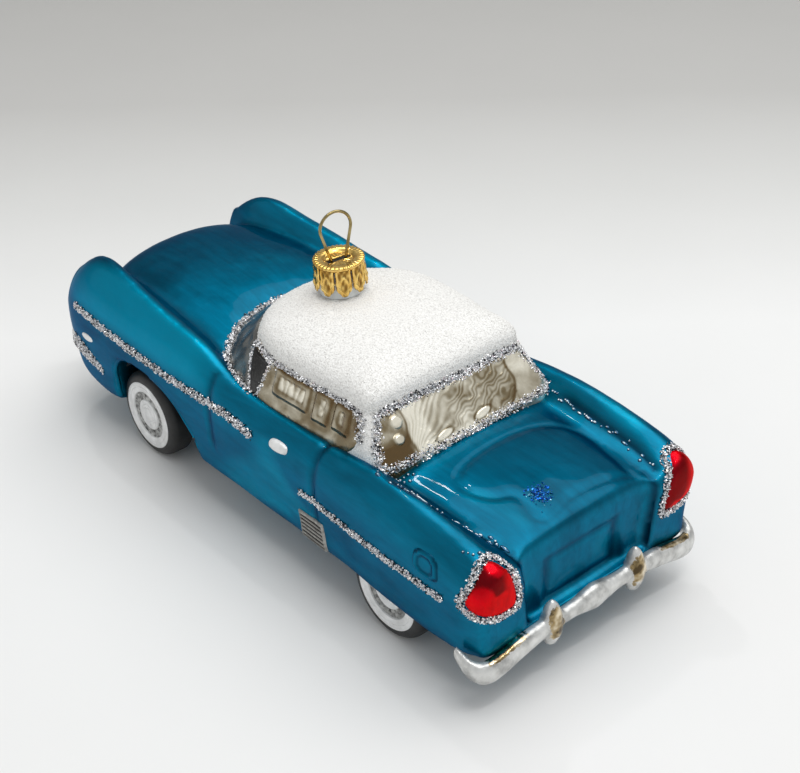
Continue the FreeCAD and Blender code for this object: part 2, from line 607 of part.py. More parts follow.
LOW = BELT - (HEADER - BELT)  # below the cabin's foot all round
A_FOOT = (size("a_pillar_foot_x"), BELT)
A_HEAD = (size("a_pillar_head_x"), HEADER)
C_HEAD = (size("c_pillar_front_x"), HEADER)
C_CORNERS = [(C_HEAD[0] - 3.6, HEADER - 1.8), (C_HEAD[0] - 5.0, HEADER - 4.8), (C_HEAD[0] - 4.2, LOW)]
R_FOOT = (size("rear_window_foot_x"), BELT)
R_HEAD = (size("rear_window_head_x"), HEADER)

windshield_zone = side_prism("windshield_zone", [leaning(A_FOOT, A_HEAD, LOW), A_HEAD, (FAR, HEADER), (FAR, LOW)])
rear_zone = side_prism("rear_zone", [leaning(R_FOOT, R_HEAD, LOW), R_HEAD, (-FAR, HEADER), (-FAR, LOW)])
side_outline = [leaning(A_FOOT, A_HEAD, LOW), A_HEAD, C_HEAD] + C_CORNERS

piece(common("windshield_cut", cabin_shell, windshield_zone), "windshield")
piece(common("rear_window_cut", cabin_shell, rear_zone), "rear_window")
roof_rest = cut("roof_rest", cabin_shell, windshield_zone, rear_zone)
for side_name, side in SIDES.items():
    zone = side_prism(f"side_zone_{side_name}", side_outline, side)
    piece(common(f"side_window_{side_name}_cut", cabin_shell, zone), f"side_window_{side_name}")
    roof_rest = cut(f"roof_rest_{side_name}", roof_rest, zone)

neck = cut("neck_seated", neck_tube, cabin_outer)
piece(neck, "neck")
piece(cut("roof_open", roof_rest, neck_bore), "roof")
for side_name, (tyre, disc) in rear_wheels.items():
    piece(cut(f"tyre_rear_{side_name}_seated", tyre, body_full), f"tyre_rear_{side_name}")
    piece(cut(f"disc_rear_{side_name}_seated", disc, body_full), f"wheel_disc_rear_{side_name}")
for side_name, lamp in headlamps.items():
    piece(cut(f"headlamp_{side_name}_seated", lamp, body_full), f"headlamp_{side_name}")


# Body shell with its front wheel arches, and the black pans behind the front wheels

def arch_prism(name, side, inset, depth):
    """Elliptical prism of a front wheel arch, from the pan's floor outwards."""
    outline = doc.addObject("Part::Ellipse", f"{name}_outline")
    outline.setExpression("MajorRadius", f"Sizes.arch_half_length - {inset}")
    outline.setExpression("MinorRadius", f"Sizes.arch_rise - {inset}")
    outline.Placement = Placement(Vector(), Rotation(Vector(1, 0, 0), 90))
    outline.setExpression("Placement.Base.x", "Sizes.arch_x")
    outline.setExpression("Placement.Base.y", f"{side} * (Sizes.wheel_inner_y - Sizes.wall + {inset})")
    outline.setExpression("Placement.Base.z", "Sizes.floor_height")
    prism = doc.addObject("Part::Extrusion", name)
    prism.Base = outline
    prism.DirMode = "Custom"
    prism.Dir = Vector(0, side, 0)
    prism.LengthFwd = depth
    prism.Solid = True
    return prism


below = side_prism("below", [(FAR, -FAR), (FAR, FLOOR + 0.4), (-FAR, FLOOR + 0.4), (-FAR, -FAR)])
shell = cut("body_shell_hollow", body_outer, body_inner, cabin_inner)
for side_name, side in SIDES.items():
    arch = arch_prism(f"arch_{side_name}", side, "0", FAR)
    pan = arch_prism(f"pan_full_{side_name}", side, "0", size("pan_depth"))
    room = arch_prism(f"arch_room_{side_name}", side, "Sizes.wall", FAR)
    shell = cut(f"body_shell_{side_name}", shell, arch)
    piece(cut(f"pan_{side_name}", pan, room, below), f"wheel_pan_{side_name}")
piece(shell, "body_shell")


# Bumpers: closed bars with their guards, laid along the ends and cut to seat on the glass

BAR_CORNERS = 8
BAR_SHARES = (0.0, 0.1, 0.22, 0.34, 0.46, 0.6, 0.76, 0.9, 1.0)
REAR_X = size("rear_bumper_x")
REAR_Z = size("rear_bumper_height")
FRONT_X = size("front_bumper_x")
FRONT_Z = size("front_bumper_height")
GUARD_Y = size("guard_y")

# Columns of a bar by share of the way from its left end to the middle line.
REAR_BAR = {
    "x": [(0.0, TAIL + 4.8), (0.2, TAIL + 1.2), (0.36, TAIL - 0.4), (0.55, REAR_X), (1.0, REAR_X)],
    "y": [(0.0, HALF_WIDTH + 0.2), (0.2, HALF_WIDTH - 0.3), (0.36, HALF_WIDTH - 3.0), (0.55, 18.0), (1.0, 0.0)],
    "z": [(0.0, REAR_Z + 0.5), (0.2, REAR_Z - 1.6), (0.36, REAR_Z - 2.4), (0.55, REAR_Z - 0.8), (0.7, REAR_Z),
          (1.0, REAR_Z)],
    "half_height": [(0.0, 1.2), (0.2, 2.1), (0.36, 2.4), (0.55, 2.2), (0.84, 1.6), (1.0, 2.8)],
    "half_depth": [(0.0, 0.6), (0.2, 1.2), (0.36, 1.6), (0.55, 1.6), (0.84, 1.4), (1.0, 1.8)],
}
FRONT_BAR = {
    "x": [(0.0, NOSE - 14.0), (0.2, NOSE - 6.5), (0.36, NOSE - 1.0), (0.55, FRONT_X - 1.6), (1.0, FRONT_X)],
    "y": [(0.0, HALF_WIDTH - 2.4), (0.2, HALF_WIDTH - 2.2), (0.36, HALF_WIDTH - 4.4), (0.55, 17.0), (1.0, 0.0)],
    "z": [(0.0, FRONT_Z - 3.6), (0.2, FRONT_Z - 1.2), (0.36, FRONT_Z), (1.0, FRONT_Z)],
    "half_height": [(0.0, 1.6), (0.2, 2.6), (0.36, 3.0), (0.55, 2.8), (1.0, 2.6)],
    "half_depth": [(0.0, 0.8), (0.2, 1.4), (0.36, 1.7), (1.0, 1.9)],
}


def bar_run(columns, share, side):
    """Closed run of points round a bar, square to its line in plan."""
    x, y, z, half_height, half_depth = (value_at(line, share) for line in columns.values())
    ahead = max(share - 0.02, 0.0)
    behind = min(share + 0.02, 1.0)
    along = Vector(value_at(columns["x"], behind) - value_at(columns["x"], ahead),
                   value_at(columns["y"], behind) - value_at(columns["y"], ahead), 0).normalize()
    run = []
    for corner in range(BAR_CORNERS):
        turn = 2 * math.pi * (corner + 0.5) / BAR_CORNERS
        out = half_depth * math.sin(turn)
        run.append(Vector(x - along.y * out, side * (y + along.x * out), z + half_height * math.cos(turn)))
    return run


def bumper_bar(name, columns):
    """Bar of rounded section from the left end round to the right end."""
    rows = [bar_run(columns, share, 1) for share in BAR_SHARES]
    rows += [bar_run(columns, share, -1) for share in reversed(BAR_SHARES[:-1])]
    return solid_feature(name, panelled(rows))


GUARD_ROWS = [(-4.4, 0.45, 0.5), (-2.2, 0.9, 0.95), (0.4, 1.0, 1.0), (2.8, 0.75, 0.8), (4.4, 0.42, 0.5)]
GUARD_HALF_WIDTH = 2.4
GUARD_HALF_DEPTH = 1.9
GUARD_CORNERS = 8


def bumper_guard(name, x, y, z):
    """Upright guard with a pointed top, as a loft of rounded sections."""
    rows = []
    for rise, wide, deep in GUARD_ROWS + [(size("guard_rise"), 0.12, 0.15)]:
        turns = [2 * math.pi * corner / GUARD_CORNERS for corner in range(GUARD_CORNERS)]
        rows.append([Vector(x + GUARD_HALF_DEPTH * deep * math.cos(turn),
                            y + GUARD_HALF_WIDTH * wide * math.sin(turn), z + rise) for turn in turns])
    return solid_feature(name, panelled(rows))


for end_name, columns, x, z in (("front", FRONT_BAR, FRONT_X - 0.3, FRONT_Z), ("rear", REAR_BAR, REAR_X, REAR_Z)):
    whole = doc.addObject("Part::MultiFuse", f"{end_name}_bumper_whole")
    whole.Shapes = [bumper_bar(f"{end_name}_bar", columns)] + [
        bumper_guard(f"{end_name}_guard_{side_name}", x, side * GUARD_Y, z) for side_name, side in SIDES.items()]
    piece(cut(f"{end_name}_bumper_seated", whole, body_outer), f"{end_name}_bumper")


# Glitter lines and painted relief that follow the glass: bands of the coat over it

LINE = size("glitter_width") / 2
front_line = band([(NOSE - 1.5, size("front_line_height") + 2.0),
                   (size("front_line_end_x"), size("front_line_height"))], LINE)
rear_line = band([(size("rear_line_front_x"), size("rear_line_height") + 0.4),
                  (size("rear_line_rear_x"), size("rear_line_height") - 0.2)], LINE)
VENT_X, VENT_Z = size("vent_x"), size("vent_height")
VENT_HALF_LENGTH = 4.0
VENT_HALF_HEIGHT = 3.0
VENT_SLANT = 0.6
FLAP_X, FLAP_Z = size("fuel_flap_x"), size("fuel_flap_height")
FLAP_HALF = 2.3


def slanted(half_length, middle_z, half_height):
    """Parallelogram (x, z) about the vent's middle that leans with the vent."""
    corners = []
    for along, up in ((1, 1), (-1, 1), (-1, -1), (1, -1)):
        z = middle_z + up * half_height
        corners.append((VENT_X + along * half_length + VENT_SLANT * (z - VENT_Z) / VENT_HALF_HEIGHT, z))
    return corners


def vent_slots(side_name, side):
    """The louvre slots of one side vent, as one compound of prisms."""
    pitch = 2 * VENT_HALF_HEIGHT / (size("louvre_count") + 0.5)
    slots = []
    for number in range(int(size("louvre_count"))):
        middle = VENT_Z + VENT_HALF_HEIGHT - (number + 0.75) * pitch
        prism = side_prism(f"louvre_{number}_{side_name}", slanted(VENT_HALF_LENGTH - 0.5, middle, 0.32 * pitch),
                           side, CREST_Y)
        slots.append(prism)
    group = doc.addObject("Part::Compound", f"louvres_{side_name}")
    group.Links = slots
    return group


vent_outline = slanted(VENT_HALF_LENGTH, VENT_Z, VENT_HALF_HEIGHT)
flap_outline = [(FLAP_X + along * FLAP_HALF, FLAP_Z + up * FLAP_HALF)
                for along, up in ((1, 1), (-1, 1), (-1, -1), (1, -1))]
for side_name, side in SIDES.items():
    for name, outline in (("front_line", front_line), ("rear_line", rear_line), ("side_vent", vent_outline)):
        zone = side_prism(f"{name}_zone_{side_name}", outline, side, CREST_Y)
        relief = common(f"{name}_{side_name}_cut", body_coat, zone)
        if name == "side_vent":
            relief = cut(f"side_vent_{side_name}_open", relief, vent_slots(side_name, side))
        piece(relief, f"{name}_{side_name}")
    lamp = [(side * y, z) for y, z in (
        (size("lamp_top_y"), size("lamp_top_z")), (size("lamp_inner_y"), size("lamp_low_z")),
        (size("lamp_low_y"), size("lamp_low_z") - 0.4), (size("lamp_outer_y"), size("lamp_outer_z")))]
    zone = end_prism(f"tail_lamp_zone_{side_name}", lamp, TAIL - 5, 8.5)
    piece(common(f"tail_lamp_{side_name}_cut", body_coat, zone), f"tail_lamp_{side_name}")
    handle = doc.addObject("Part::Box", f"handle_{side_name}_full")
    handle.setExpression("Length", "Sizes.handle_length")
    handle.setExpression("Width", "2 * Sizes.handle_rise")
    handle.setExpression("Height", "Sizes.handle_width")
    handle.setExpression("Placement.Base.x", "Sizes.handle_x - Sizes.handle_length / 2")
    handle.setExpression("Placement.Base.y", f"{side} * (Sizes.half_width - 0.9) - Sizes.handle_rise")
    handle.setExpression("Placement.Base.z", "Sizes.handle_height - Sizes.handle_width / 2")
    piece(cut(f"handle_{side_name}_seated", handle, body_outer), f"door_handle_{side_name}")
flap_zone = side_prism("fuel_flap_zone", flap_outline, 1, CREST_Y)
piece(common("fuel_flap_cut", body_coat, flap_zone), "fuel_flap")

GRILLE_LOW, GRILLE_TOP = size("grille_low_z"), size("grille_top_z")
GRILLE_HALF = size("grille_half_width")
BAR = size("grille_bar")
grille_zone = end_prism("grille_zone", frame_points(GRILLE_HALF, GRILLE_LOW, GRILLE_TOP), NOSE - 5, 11)
grille_middle = 0.5 * (GRILLE_LOW + GRILLE_TOP)
column_pitch = (2 * GRILLE_HALF - BAR) / size("grille_columns")
cells = []
for column in range(int(size("grille_columns"))):
    left = -GRILLE_HALF + BAR + column * column_pitch
    right = left + column_pitch - BAR
    for row, (low, top) in enumerate(((GRILLE_LOW + BAR, grille_middle - BAR / 2),
                                      (grille_middle + BAR / 2, GRILLE_TOP - BAR))):
        corners = [(left, low), (right, low), (right, top), (left, top)]
        cells.append(end_prism(f"grille_cell_{column}_{row}", corners, NOSE - 5, 11))
grille_openings = doc.addObject("Part::Compound", "grille_openings")
grille_openings.Links = cells
grille_plate = common("grille_plate", body_coat, grille_zone)
piece(cut("grille_bars", grille_plate, grille_openings), "grille")


doc.recompute()
for obj in doc.Objects:
    if "Invalid" in obj.State or "Error" in obj.State:
        raise RuntimeError(f"{obj.Name} did not build: {obj.State}")
os.makedirs("parts", exist_ok=True)
for obj in PIECES:
    if obj.Shape.isNull() or not obj.Shape.isValid():
        raise RuntimeError(f"{obj.Label} is not a valid solid")
for obj in PIECES:
    obj.Shape.exportStep(f"parts/{obj.Label}.step")
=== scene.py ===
"""Looks of a blown-glass car ornament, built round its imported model.

Points are in millimetres until a mesh is made, then in metres. +X is the nose, +Y the car's left side.
"""
import bmesh
import bpy
import math
import random
import numpy as np
from mathutils import Matrix, Vector, noise
from mathutils.bvhtree import BVHTree


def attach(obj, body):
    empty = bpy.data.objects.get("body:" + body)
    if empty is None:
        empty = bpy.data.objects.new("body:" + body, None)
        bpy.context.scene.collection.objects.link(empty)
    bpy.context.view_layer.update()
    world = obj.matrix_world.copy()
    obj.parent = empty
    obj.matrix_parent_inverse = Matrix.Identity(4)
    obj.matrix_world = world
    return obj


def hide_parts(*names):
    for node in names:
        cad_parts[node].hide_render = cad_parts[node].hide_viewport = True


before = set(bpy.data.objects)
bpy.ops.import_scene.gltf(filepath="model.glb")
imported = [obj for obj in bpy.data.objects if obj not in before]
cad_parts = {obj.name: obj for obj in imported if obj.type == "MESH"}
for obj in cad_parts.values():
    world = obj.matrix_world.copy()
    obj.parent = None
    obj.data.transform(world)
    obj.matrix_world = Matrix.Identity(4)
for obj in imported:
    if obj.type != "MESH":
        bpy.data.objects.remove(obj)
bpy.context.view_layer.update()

MM = 0.001
SIDES = {"left": 1, "right": -1}
dice = random.Random(1955)


# Camera and lights

VIEW_AZIMUTH, VIEW_ELEVATION, VIEW_ROLL = math.radians(139.81), math.radians(32.75), math.radians(-1.48)
VIEW_TARGET, VIEW_DISTANCE = Vector((-0.01807, 0.0, 0.03114)), 0.2869
FOCAL_PIXELS, PICTURE_WIDTH = 1491.4, 800
SENSOR = 36.0


def make_camera():
    """Camera at the photograph's angle."""
    level = math.cos(VIEW_ELEVATION)
    back = Vector((level * math.cos(VIEW_AZIMUTH), level * math.sin(VIEW_AZIMUTH), math.sin(VIEW_ELEVATION)))
    right = Vector((0, 0, 1)).cross(back).normalized()
    up = back.cross(right)
    turned_right = right * math.cos(VIEW_ROLL) + up * math.sin(VIEW_ROLL)
    turned_up = up * math.cos(VIEW_ROLL) - right * math.sin(VIEW_ROLL)
    place = Matrix((turned_right, turned_up, back)).transposed().to_4x4()
    place.translation = VIEW_TARGET + back * VIEW_DISTANCE
    data = bpy.data.cameras.new("camera")
    data.sensor_width = SENSOR
    data.lens = FOCAL_PIXELS / PICTURE_WIDTH * SENSOR
    data.clip_start, data.clip_end = 0.01, 10.0
    camera = bpy.data.objects.new("camera", data)
    camera.matrix_world = place
    bpy.context.collection.objects.link(camera)
    bpy.context.scene.camera = camera


def area_light(name, place, target, width, depth, energy):
    data = bpy.data.lights.new(name, "AREA")
    data.shape = "RECTANGLE"
    data.size, data.size_y = width, depth
    data.energy = energy
    lamp = bpy.data.objects.new(name, data)
    lamp.location = place
    lamp.rotation_euler = (Vector(target) - Vector(place)).to_track_quat("-Z", "Y").to_euler()
    bpy.context.collection.objects.link(lamp)


make_camera()
bpy.context.scene.view_settings.view_transform = "Standard"


# Materials

def new_material(name):
    material = bpy.data.materials.new(name)
    material.use_nodes = True
    return material, material.node_tree


def feed(tree, socket, value):
    """Links an output to a socket, or sets the socket to a number, a vector or a colour."""
    if isinstance(value, bpy.types.NodeSocket):
        tree.links.new(value, socket)
    else:
        socket.default_value = (*value, 1.0) if socket.type == "RGBA" else value


def dress(tree, **sockets):
    """Feeds sockets of the principled shader, with underscores for the spaces in their names."""
    inputs = tree.nodes["Principled BSDF"].inputs
    for name, value in sockets.items():
        feed(tree, inputs[name.replace("_", " ")], value)


def node(tree, kind, inputs=None, **settings):
    """New node with its settings, and what feeds its inputs by their name or number."""
    made = tree.nodes.new(kind)
    for key, value in settings.items():
        setattr(made, key, value)
    for key, value in (inputs or {}).items():
        feed(tree, made.inputs[key], value)
    return made


def place_of(tree, stretch=(1.0, 1.0, 1.0)):
    """Object coordinates in millimetres, stretched."""
    place = node(tree, "ShaderNodeTexCoord").outputs["Object"]
    scale = [value / MM for value in stretch]
    return node(tree, "ShaderNodeMapping", {"Vector": place, "Scale": scale}).outputs["Vector"]


def noise_of(tree, size, detail=3.0, roughness=0.5, distortion=0.0, stretch=(1.0, 1.0, 1.0)):
    """Noise whose features are about size millimetres across."""
    inputs = {"Vector": place_of(tree, stretch), "Scale": 1.0 / size, "Detail": detail,
              "Roughness": roughness, "Distortion": distortion}
    return node(tree, "ShaderNodeTexNoise", inputs).outputs["Fac"]


def ramp_of(tree, factor, stops):
    """Colour ramp with stops of (position, colour)."""
    made = node(tree, "ShaderNodeValToRGB", {"Fac": factor})
    elements = made.color_ramp.elements
    while len(elements) < len(stops):
        elements.new(0.5)
    for element, (position, colour) in zip(elements, stops):
        element.position = position
        element.color = (*colour, 1.0)
    return made.outputs["Color"]


def range_of(tree, factor, low, high, start=0.0, end=1.0):
    """A factor between start and end, brought to between low and high."""
    inputs = {"Value": factor, "From Min": start, "From Max": end, "To Min": low, "To Max": high}
    return node(tree, "ShaderNodeMapRange", inputs).outputs["Result"]


def sum_of(tree, first, second):
    return node(tree, "ShaderNodeMath", {0: first, 1: second}, operation="ADD").outputs["Value"]


def mixed(tree, factor, first, second, blend="MIX"):
    """Mix of two colours, each a socket or a colour."""
    inputs = {0: factor, 6: first, 7: second}
    return node(tree, "ShaderNodeMix", inputs, data_type="RGBA", blend_type=blend).outputs[2]


def bump_of(tree, height, strength, depth):
    """Normal bumped by a height, up to depth millimetres."""
    inputs = {"Height": height, "Strength": strength, "Distance": depth * MM}
    return node(tree, "ShaderNodeBump", inputs).outputs["Normal"]


def attribute_of(tree, name):
    return node(tree, "ShaderNodeAttribute", attribute_name=name).outputs["Fac"]


def lacquer(name, deep, middle, bright, crease, edge, coat=0.13):
    """Transparent lacquer over silvered glass: lightly brushed, with painted shade and a painted highlight
    from stored tones, under a clear coat.
    """
    material, tree = new_material(name)
    broad = noise_of(tree, 16.0, 2.0, 0.4, 0.5, (0.6, 1.0, 0.9))
    brush = noise_of(tree, 1.5, 4.0, 0.6, 0.4, (0.14, 1.0, 0.6))
    tone = ramp_of(tree, broad, [(0.3, deep), (0.45, middle), (0.58, middle), (0.74, bright)])
    tone = mixed(tree, 1.0, tone, range_of(tree, brush, 0.84, 1.18, 0.3, 0.7), "MULTIPLY")
    # painted highlight: brighter lacquer where the stored highlight tone says, on the front fenders'
    # shoulders
    tone = mixed(tree, attribute_of(tree, "painted_highlight"), tone, tuple(1.4 * part for part in bright))
    # painted shade from the stored crease tone: in the body's grooves and recesses and on the trunk and hood;
    # on the tail lamps a painted dark reflection
    tone = mixed(tree, attribute_of(tree, "crease"), tone, crease)
    dress(tree, Base_Color=tone, Metallic=1.0, Specular_Tint=edge,
          Roughness=range_of(tree, noise_of(tree, 3.0, 4.0), 0.34, 0.5),
          Normal=bump_of(tree, noise_of(tree, 5.0, 2.0), 0.3, 0.3),
          Coat_Weight=coat, Coat_Roughness=0.03, Coat_IOR=1.5)
    return material


def white_grain():
    """White paint full of fine grains."""
    material, tree = new_material("white_grain")
    grain = noise_of(tree, 0.32, 2.0, 0.6)
    tone = ramp_of(tree, grain,
                   [(0.28, (0.58, 0.57, 0.55)), (0.5, (0.83, 0.82, 0.79)), (0.7, (0.92, 0.92, 0.90))])
    dress(tree, Base_Color=tone, Metallic=0.0, Specular_IOR_Level=0.4,
          Roughness=range_of(tree, noise_of(tree, 0.6, 1.0), 0.3, 0.75),
          Normal=bump_of(tree, grain, 0.8, 0.22))
    return material


def mirror(name, tones, rough_low, rough_high, metallic=1.0):
    """Bare silvered glass, toned by the stored tone and by soft patches; on the windows the stored tone is
    mostly painted shade.
    """
    material, tree = new_material(name)
    patches = range_of(tree, noise_of(tree, 4.0, 4.0, 0.5, 0.8), -0.16, 0.16, 0.3, 0.7)
    stops = [(number / (len(tones) - 1), tone) for number, tone in enumerate(tones)]
    dress(tree, Base_Color=ramp_of(tree, sum_of(tree, patches, attribute_of(tree, "crease")), stops),
          Metallic=metallic, Roughness=range_of(tree, noise_of(tree, 2.0, 3.0), rough_low, rough_high),
          Normal=bump_of(tree, noise_of(tree, 1.6, 2.0, 0.4, 0.5), 0.5, 0.25),
          Coat_Weight=0.6, Coat_Roughness=0.04)
    return material


def satin(name, low, high, rough_low, rough_high, grain_size=0.5, grain=0.05, metallic=0.0, patch=2.5):
    """Painted surface with a slight unevenness of tone and gloss."""
    material, tree = new_material(name)
    dress(tree, Base_Color=ramp_of(tree, noise_of(tree, patch, 5.0), [(0.3, low), (0.7, high)]),
          Metallic=metallic, Roughness=range_of(tree, noise_of(tree, 1.2, 3.0), rough_low, rough_high),
          Normal=bump_of(tree, noise_of(tree, grain_size, 3.0), 0.6, grain))
    return material


def silver_paint():
    """Half-matt silver-white paint, gone where the stored tone says so, with a gold-brown mirror beneath."""
    material, tree = new_material("silver_paint")
    fray = range_of(tree, noise_of(tree, 1.6, 4.0, 0.6, 0.8), -0.28, 0.28, 0.3, 0.7)
    worn = range_of(tree, sum_of(tree, fray, attribute_of(tree, "worn")), 0.0, 1.0, 0.42, 0.6)
    paint = ramp_of(tree, noise_of(tree, 2.6, 4.0),
                    [(0.3, (0.30, 0.30, 0.29)), (0.5, (0.60, 0.60, 0.58)), (0.72, (0.80, 0.80, 0.78))])
    # the brown's dark and pale patches are painted reflection in the bare mirror
    brown = ramp_of(tree, noise_of(tree, 2.2, 2.0),
                    [(0.36, (0.07, 0.045, 0.015)), (0.5, (0.34, 0.25, 0.12)), (0.66, (0.78, 0.68, 0.50))])
    dress(tree, Base_Color=mixed(tree, worn, paint, brown), Metallic=range_of(tree, worn, 0.6, 1.0),
          Roughness=range_of(tree, worn, 0.36, 0.1),
          Normal=bump_of(tree, noise_of(tree, 2.8, 3.0), 0.7, 0.5), Coat_Weight=0.3, Coat_Roughness=0.1)
    return material


def gold_sheet():
    """Bright gold-coloured sheet with painted shade in the grooves of its embossing."""
    material, tree = new_material("gold_sheet")
    tone = ramp_of(tree, noise_of(tree, 1.2, 5.0), [(0.3, (0.66, 0.37, 0.07)), (0.7, (1.0, 0.72, 0.24))])
    dress(tree, Base_Color=mixed(tree, attribute_of(tree, "crease"), tone, (0.16, 0.07, 0.01)),
          Metallic=1.0, Roughness=range_of(tree, noise_of(tree, 0.8, 3.0), 0.14, 0.32),
          Normal=bump_of(tree, noise_of(tree, 0.3, 3.0), 0.6, 0.03))
    return material


def vent_paint():
    """Grey metal paint, black where the stored tone says so."""
    material, tree = new_material("vent_paint")
    grey = ramp_of(tree, noise_of(tree, 0.8, 3.0), [(0.3, (0.27, 0.26, 0.24)), (0.7, (0.48, 0.47, 0.44))])
    dress(tree, Base_Color=mixed(tree, attribute_of(tree, "crease"), grey, (0.008, 0.008, 0.008)),
          Metallic=0.85, Roughness=0.45, Specular_IOR_Level=0.2)
    return material


def glitter():
    """Grains whose tone is stored on each of them."""
    material, tree = new_material("glitter")
    tone = node(tree, "ShaderNodeAttribute", attribute_name="grain").outputs["Color"]
    shade = range_of(tree, noise_of(tree, 0.3, 1.0), 0.8, 1.15)
    dress(tree, Base_Color=mixed(tree, 1.0, tone, shade, "MULTIPLY"), Metallic=0.72, Roughness=0.28)
    return material


BLUE = lacquer("blue_lacquer", (0.0, 0.12, 0.205), (0.0, 0.16, 0.27), (0.0, 0.27, 0.41), (0.0, 0.02, 0.05),
               (0.0, 0.3, 0.5))
RED = lacquer("red_lacquer", (0.62, 0.0, 0.006), (0.85, 0.0, 0.012), (1.0, 0.004, 0.02), (0.05, 0.0, 0.002),
              (0.8, 0.0, 0.0))
DROP_BLUE = lacquer("drop_blue", (0.0, 0.06, 0.14), (0.0, 0.12, 0.25), (0.0, 0.3, 0.5), (0.0, 0.01, 0.03),
                    (0.5, 0.8, 1.0), coat=1.0)
# pale beads on the drops that stand for their highlights: painted highlight
GLINT = satin("pool_glint", (0.5, 0.68, 0.75), (0.95, 0.98, 1.0), 0.1, 0.25, metallic=0.3)
GRAIN = white_grain()
DARK_SILVER = mirror("dark_silver", [(0.34, 0.33, 0.30), (0.12, 0.12, 0.11), (0.02, 0.02, 0.02)],
                     0.14, 0.34, metallic=0.5)
CHAMPAGNE = mirror("champagne_silver",
                   [(1.0, 0.95, 0.80), (0.58, 0.53, 0.41), (0.22, 0.17, 0.09), (0.11, 0.06, 0.01)],
                   0.12, 0.3, metallic=0.6)
BLACK_GLASS = mirror("black_mirror", [(0.05, 0.05, 0.05), (0.012, 0.012, 0.012)], 0.06, 0.2)
TYRE = satin("tyre_black", (0.006, 0.006, 0.006), (0.02, 0.02, 0.019), 0.4, 0.6)
PAN = satin("pan_black", (0.006, 0.006, 0.007), (0.03, 0.026, 0.024), 0.3, 0.6)
WHITEWALL = satin("whitewall", (0.70, 0.70, 0.69), (0.92, 0.92, 0.91), 0.3, 0.5, 0.35, 0.05, 0.25)
WHEEL_GREY = satin("wheel_grey", (0.0, 0.0, 0.0), (0.62, 0.62, 0.6), 0.25, 0.45, 0.25, 0.2, 0.5, 0.9)
SILVER = silver_paint()
GOLD = gold_sheet()
VENT_PAINT = vent_paint()
BRASS = satin("brass_wire", (0.17, 0.12, 0.035), (0.50, 0.40, 0.19), 0.12, 0.28, 0.3, 0.02, 1.0)
GLITTER = glitter()
CLEAR = satin("bare_glass", (0.7, 0.74, 0.74), (0.82, 0.85, 0.85), 0.05, 0.15)


# Mesh helpers

def facing(points, faces, outward):
    """The faces, turned over if the middle one looks away from the outward direction."""
    a, b, _, d = (Vector(points[index]) for index in faces[len(faces) // 2][:4])
    if (b - a).cross(d - a).dot(Vector(outward)) < 0:
        return [face[::-1] for face in faces]
    return faces


def new_object(name, points, faces):
    """Object with a mesh of points in millimetres."""
    mesh = bpy.data.meshes.new(name)
    mesh.from_pydata((np.asarray(points, dtype=float) * MM).tolist(), [], faces)
    mesh.update()
    obj = bpy.data.objects.new(name, mesh)
    bpy.context.collection.objects.link(obj)
    return obj


def make_piece(name, points, faces, material, replaced=(), body="glass", smooth=True):
    """Piece that rides on a body and stands for the nodes that it replaces."""
    obj = new_object(name, points, faces)
    obj.data.materials.append(material)
    if smooth:
        obj.data.shade_smooth()
    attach(obj, body)
    if replaced:
        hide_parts(*replaced)
    return obj


def grid_faces(rows, columns, wrap=False, start=0, flip=False):
    """Quads of a grid of rows times columns points. With wrap, the last column joins the first."""
    faces = []
    for row in range(rows - 1):
        for column in range(columns if wrap else columns - 1):
            after = (column + 1) % columns
            quad = (start + row * columns + column, start + row * columns + after,
                    start + (row + 1) * columns + after, start + (row + 1) * columns + column)
            faces.append(quad[::-1] if flip else quad)
    return faces


def closed_faces(rows, columns, start=0):
    """Faces of a wrapped grid with its first and last row filled."""
    last = start + (rows - 1) * columns
    ends = [tuple(reversed(range(start, start + columns))), tuple(range(last, last + columns))]
    return grid_faces(rows, columns, wrap=True, start=start) + ends


def cubic(first, first_slope, last, last_slope, u):
    """Smooth way from the first to the last value or point."""
    return (first * (2 * u ** 3 - 3 * u ** 2 + 1) + first_slope * (u ** 3 - 2 * u ** 2 + u)
            + last * (3 * u ** 2 - 2 * u ** 3) + last_slope * (u ** 3 - u ** 2))


def smooth_loop(points, per_span, closed=True):
    """Points of a smooth curve through the given ones, per_span to a span."""
    points = np.asarray(points, dtype=float)
    count = len(points)
    made = []

    def at(index):
        if closed:
            return points[index % count]
        return points[min(max(index, 0), count - 1)]

    def step(index):
        return max(float(np.linalg.norm(at(index + 1) - at(index))) ** 0.5, 1e-4)

    def slope(index):
        before, after = step(index - 1), step(index)
        back = (at(index) - at(index - 1)) / before
        ahead = (at(index + 1) - at(index)) / after
        if not closed and index == 0:
            return ahead
        if not closed and index == count - 1:
            return back
        return (back * after + ahead * before) / (before + after)

    for index in range(count if closed else count - 1):
        first_slope, last_slope = slope(index) * step(index), slope(index + 1) * step(index)
        for number in range(per_span):
            made.append(cubic(at(index), first_slope, at(index + 1), last_slope, number / per_span))
    if not closed:
        made.append(points[-1])
    return np.array(made)


def soft_step(value, low, high):
    """0 up to low, 1 from high on, and smooth between them."""
    u = min(max((value - low) / (high - low), 0.0), 1.0)
    return u * u * (3 - 2 * u)


def soft_steps(values, low, high):
    """The same for an array."""
    u = np.clip((values - low) / (high - low), 0.0, 1.0)
    return u * u * (3 - 2 * u)


def ridge(distance, width):
    """1 at no distance, fading within about the width."""
    return np.exp(-(distance / width) ** 2)


def box_bump(value, low, high, soft=0.5):
    """1 between low and high, with soft edges."""
    return soft_step(value, low - soft, low + soft) * (1 - soft_step(value, high - soft, high + soft))


def store_tone(obj, name, values):
    """Stores one number for each point."""
    made = obj.data.attributes.new(name, "FLOAT", "POINT")
    made.data.foreach_set("value", np.asarray(values, dtype=np.float32))


# The glass form: the same guide lines as the solid model, with closer sections and smooth outlines

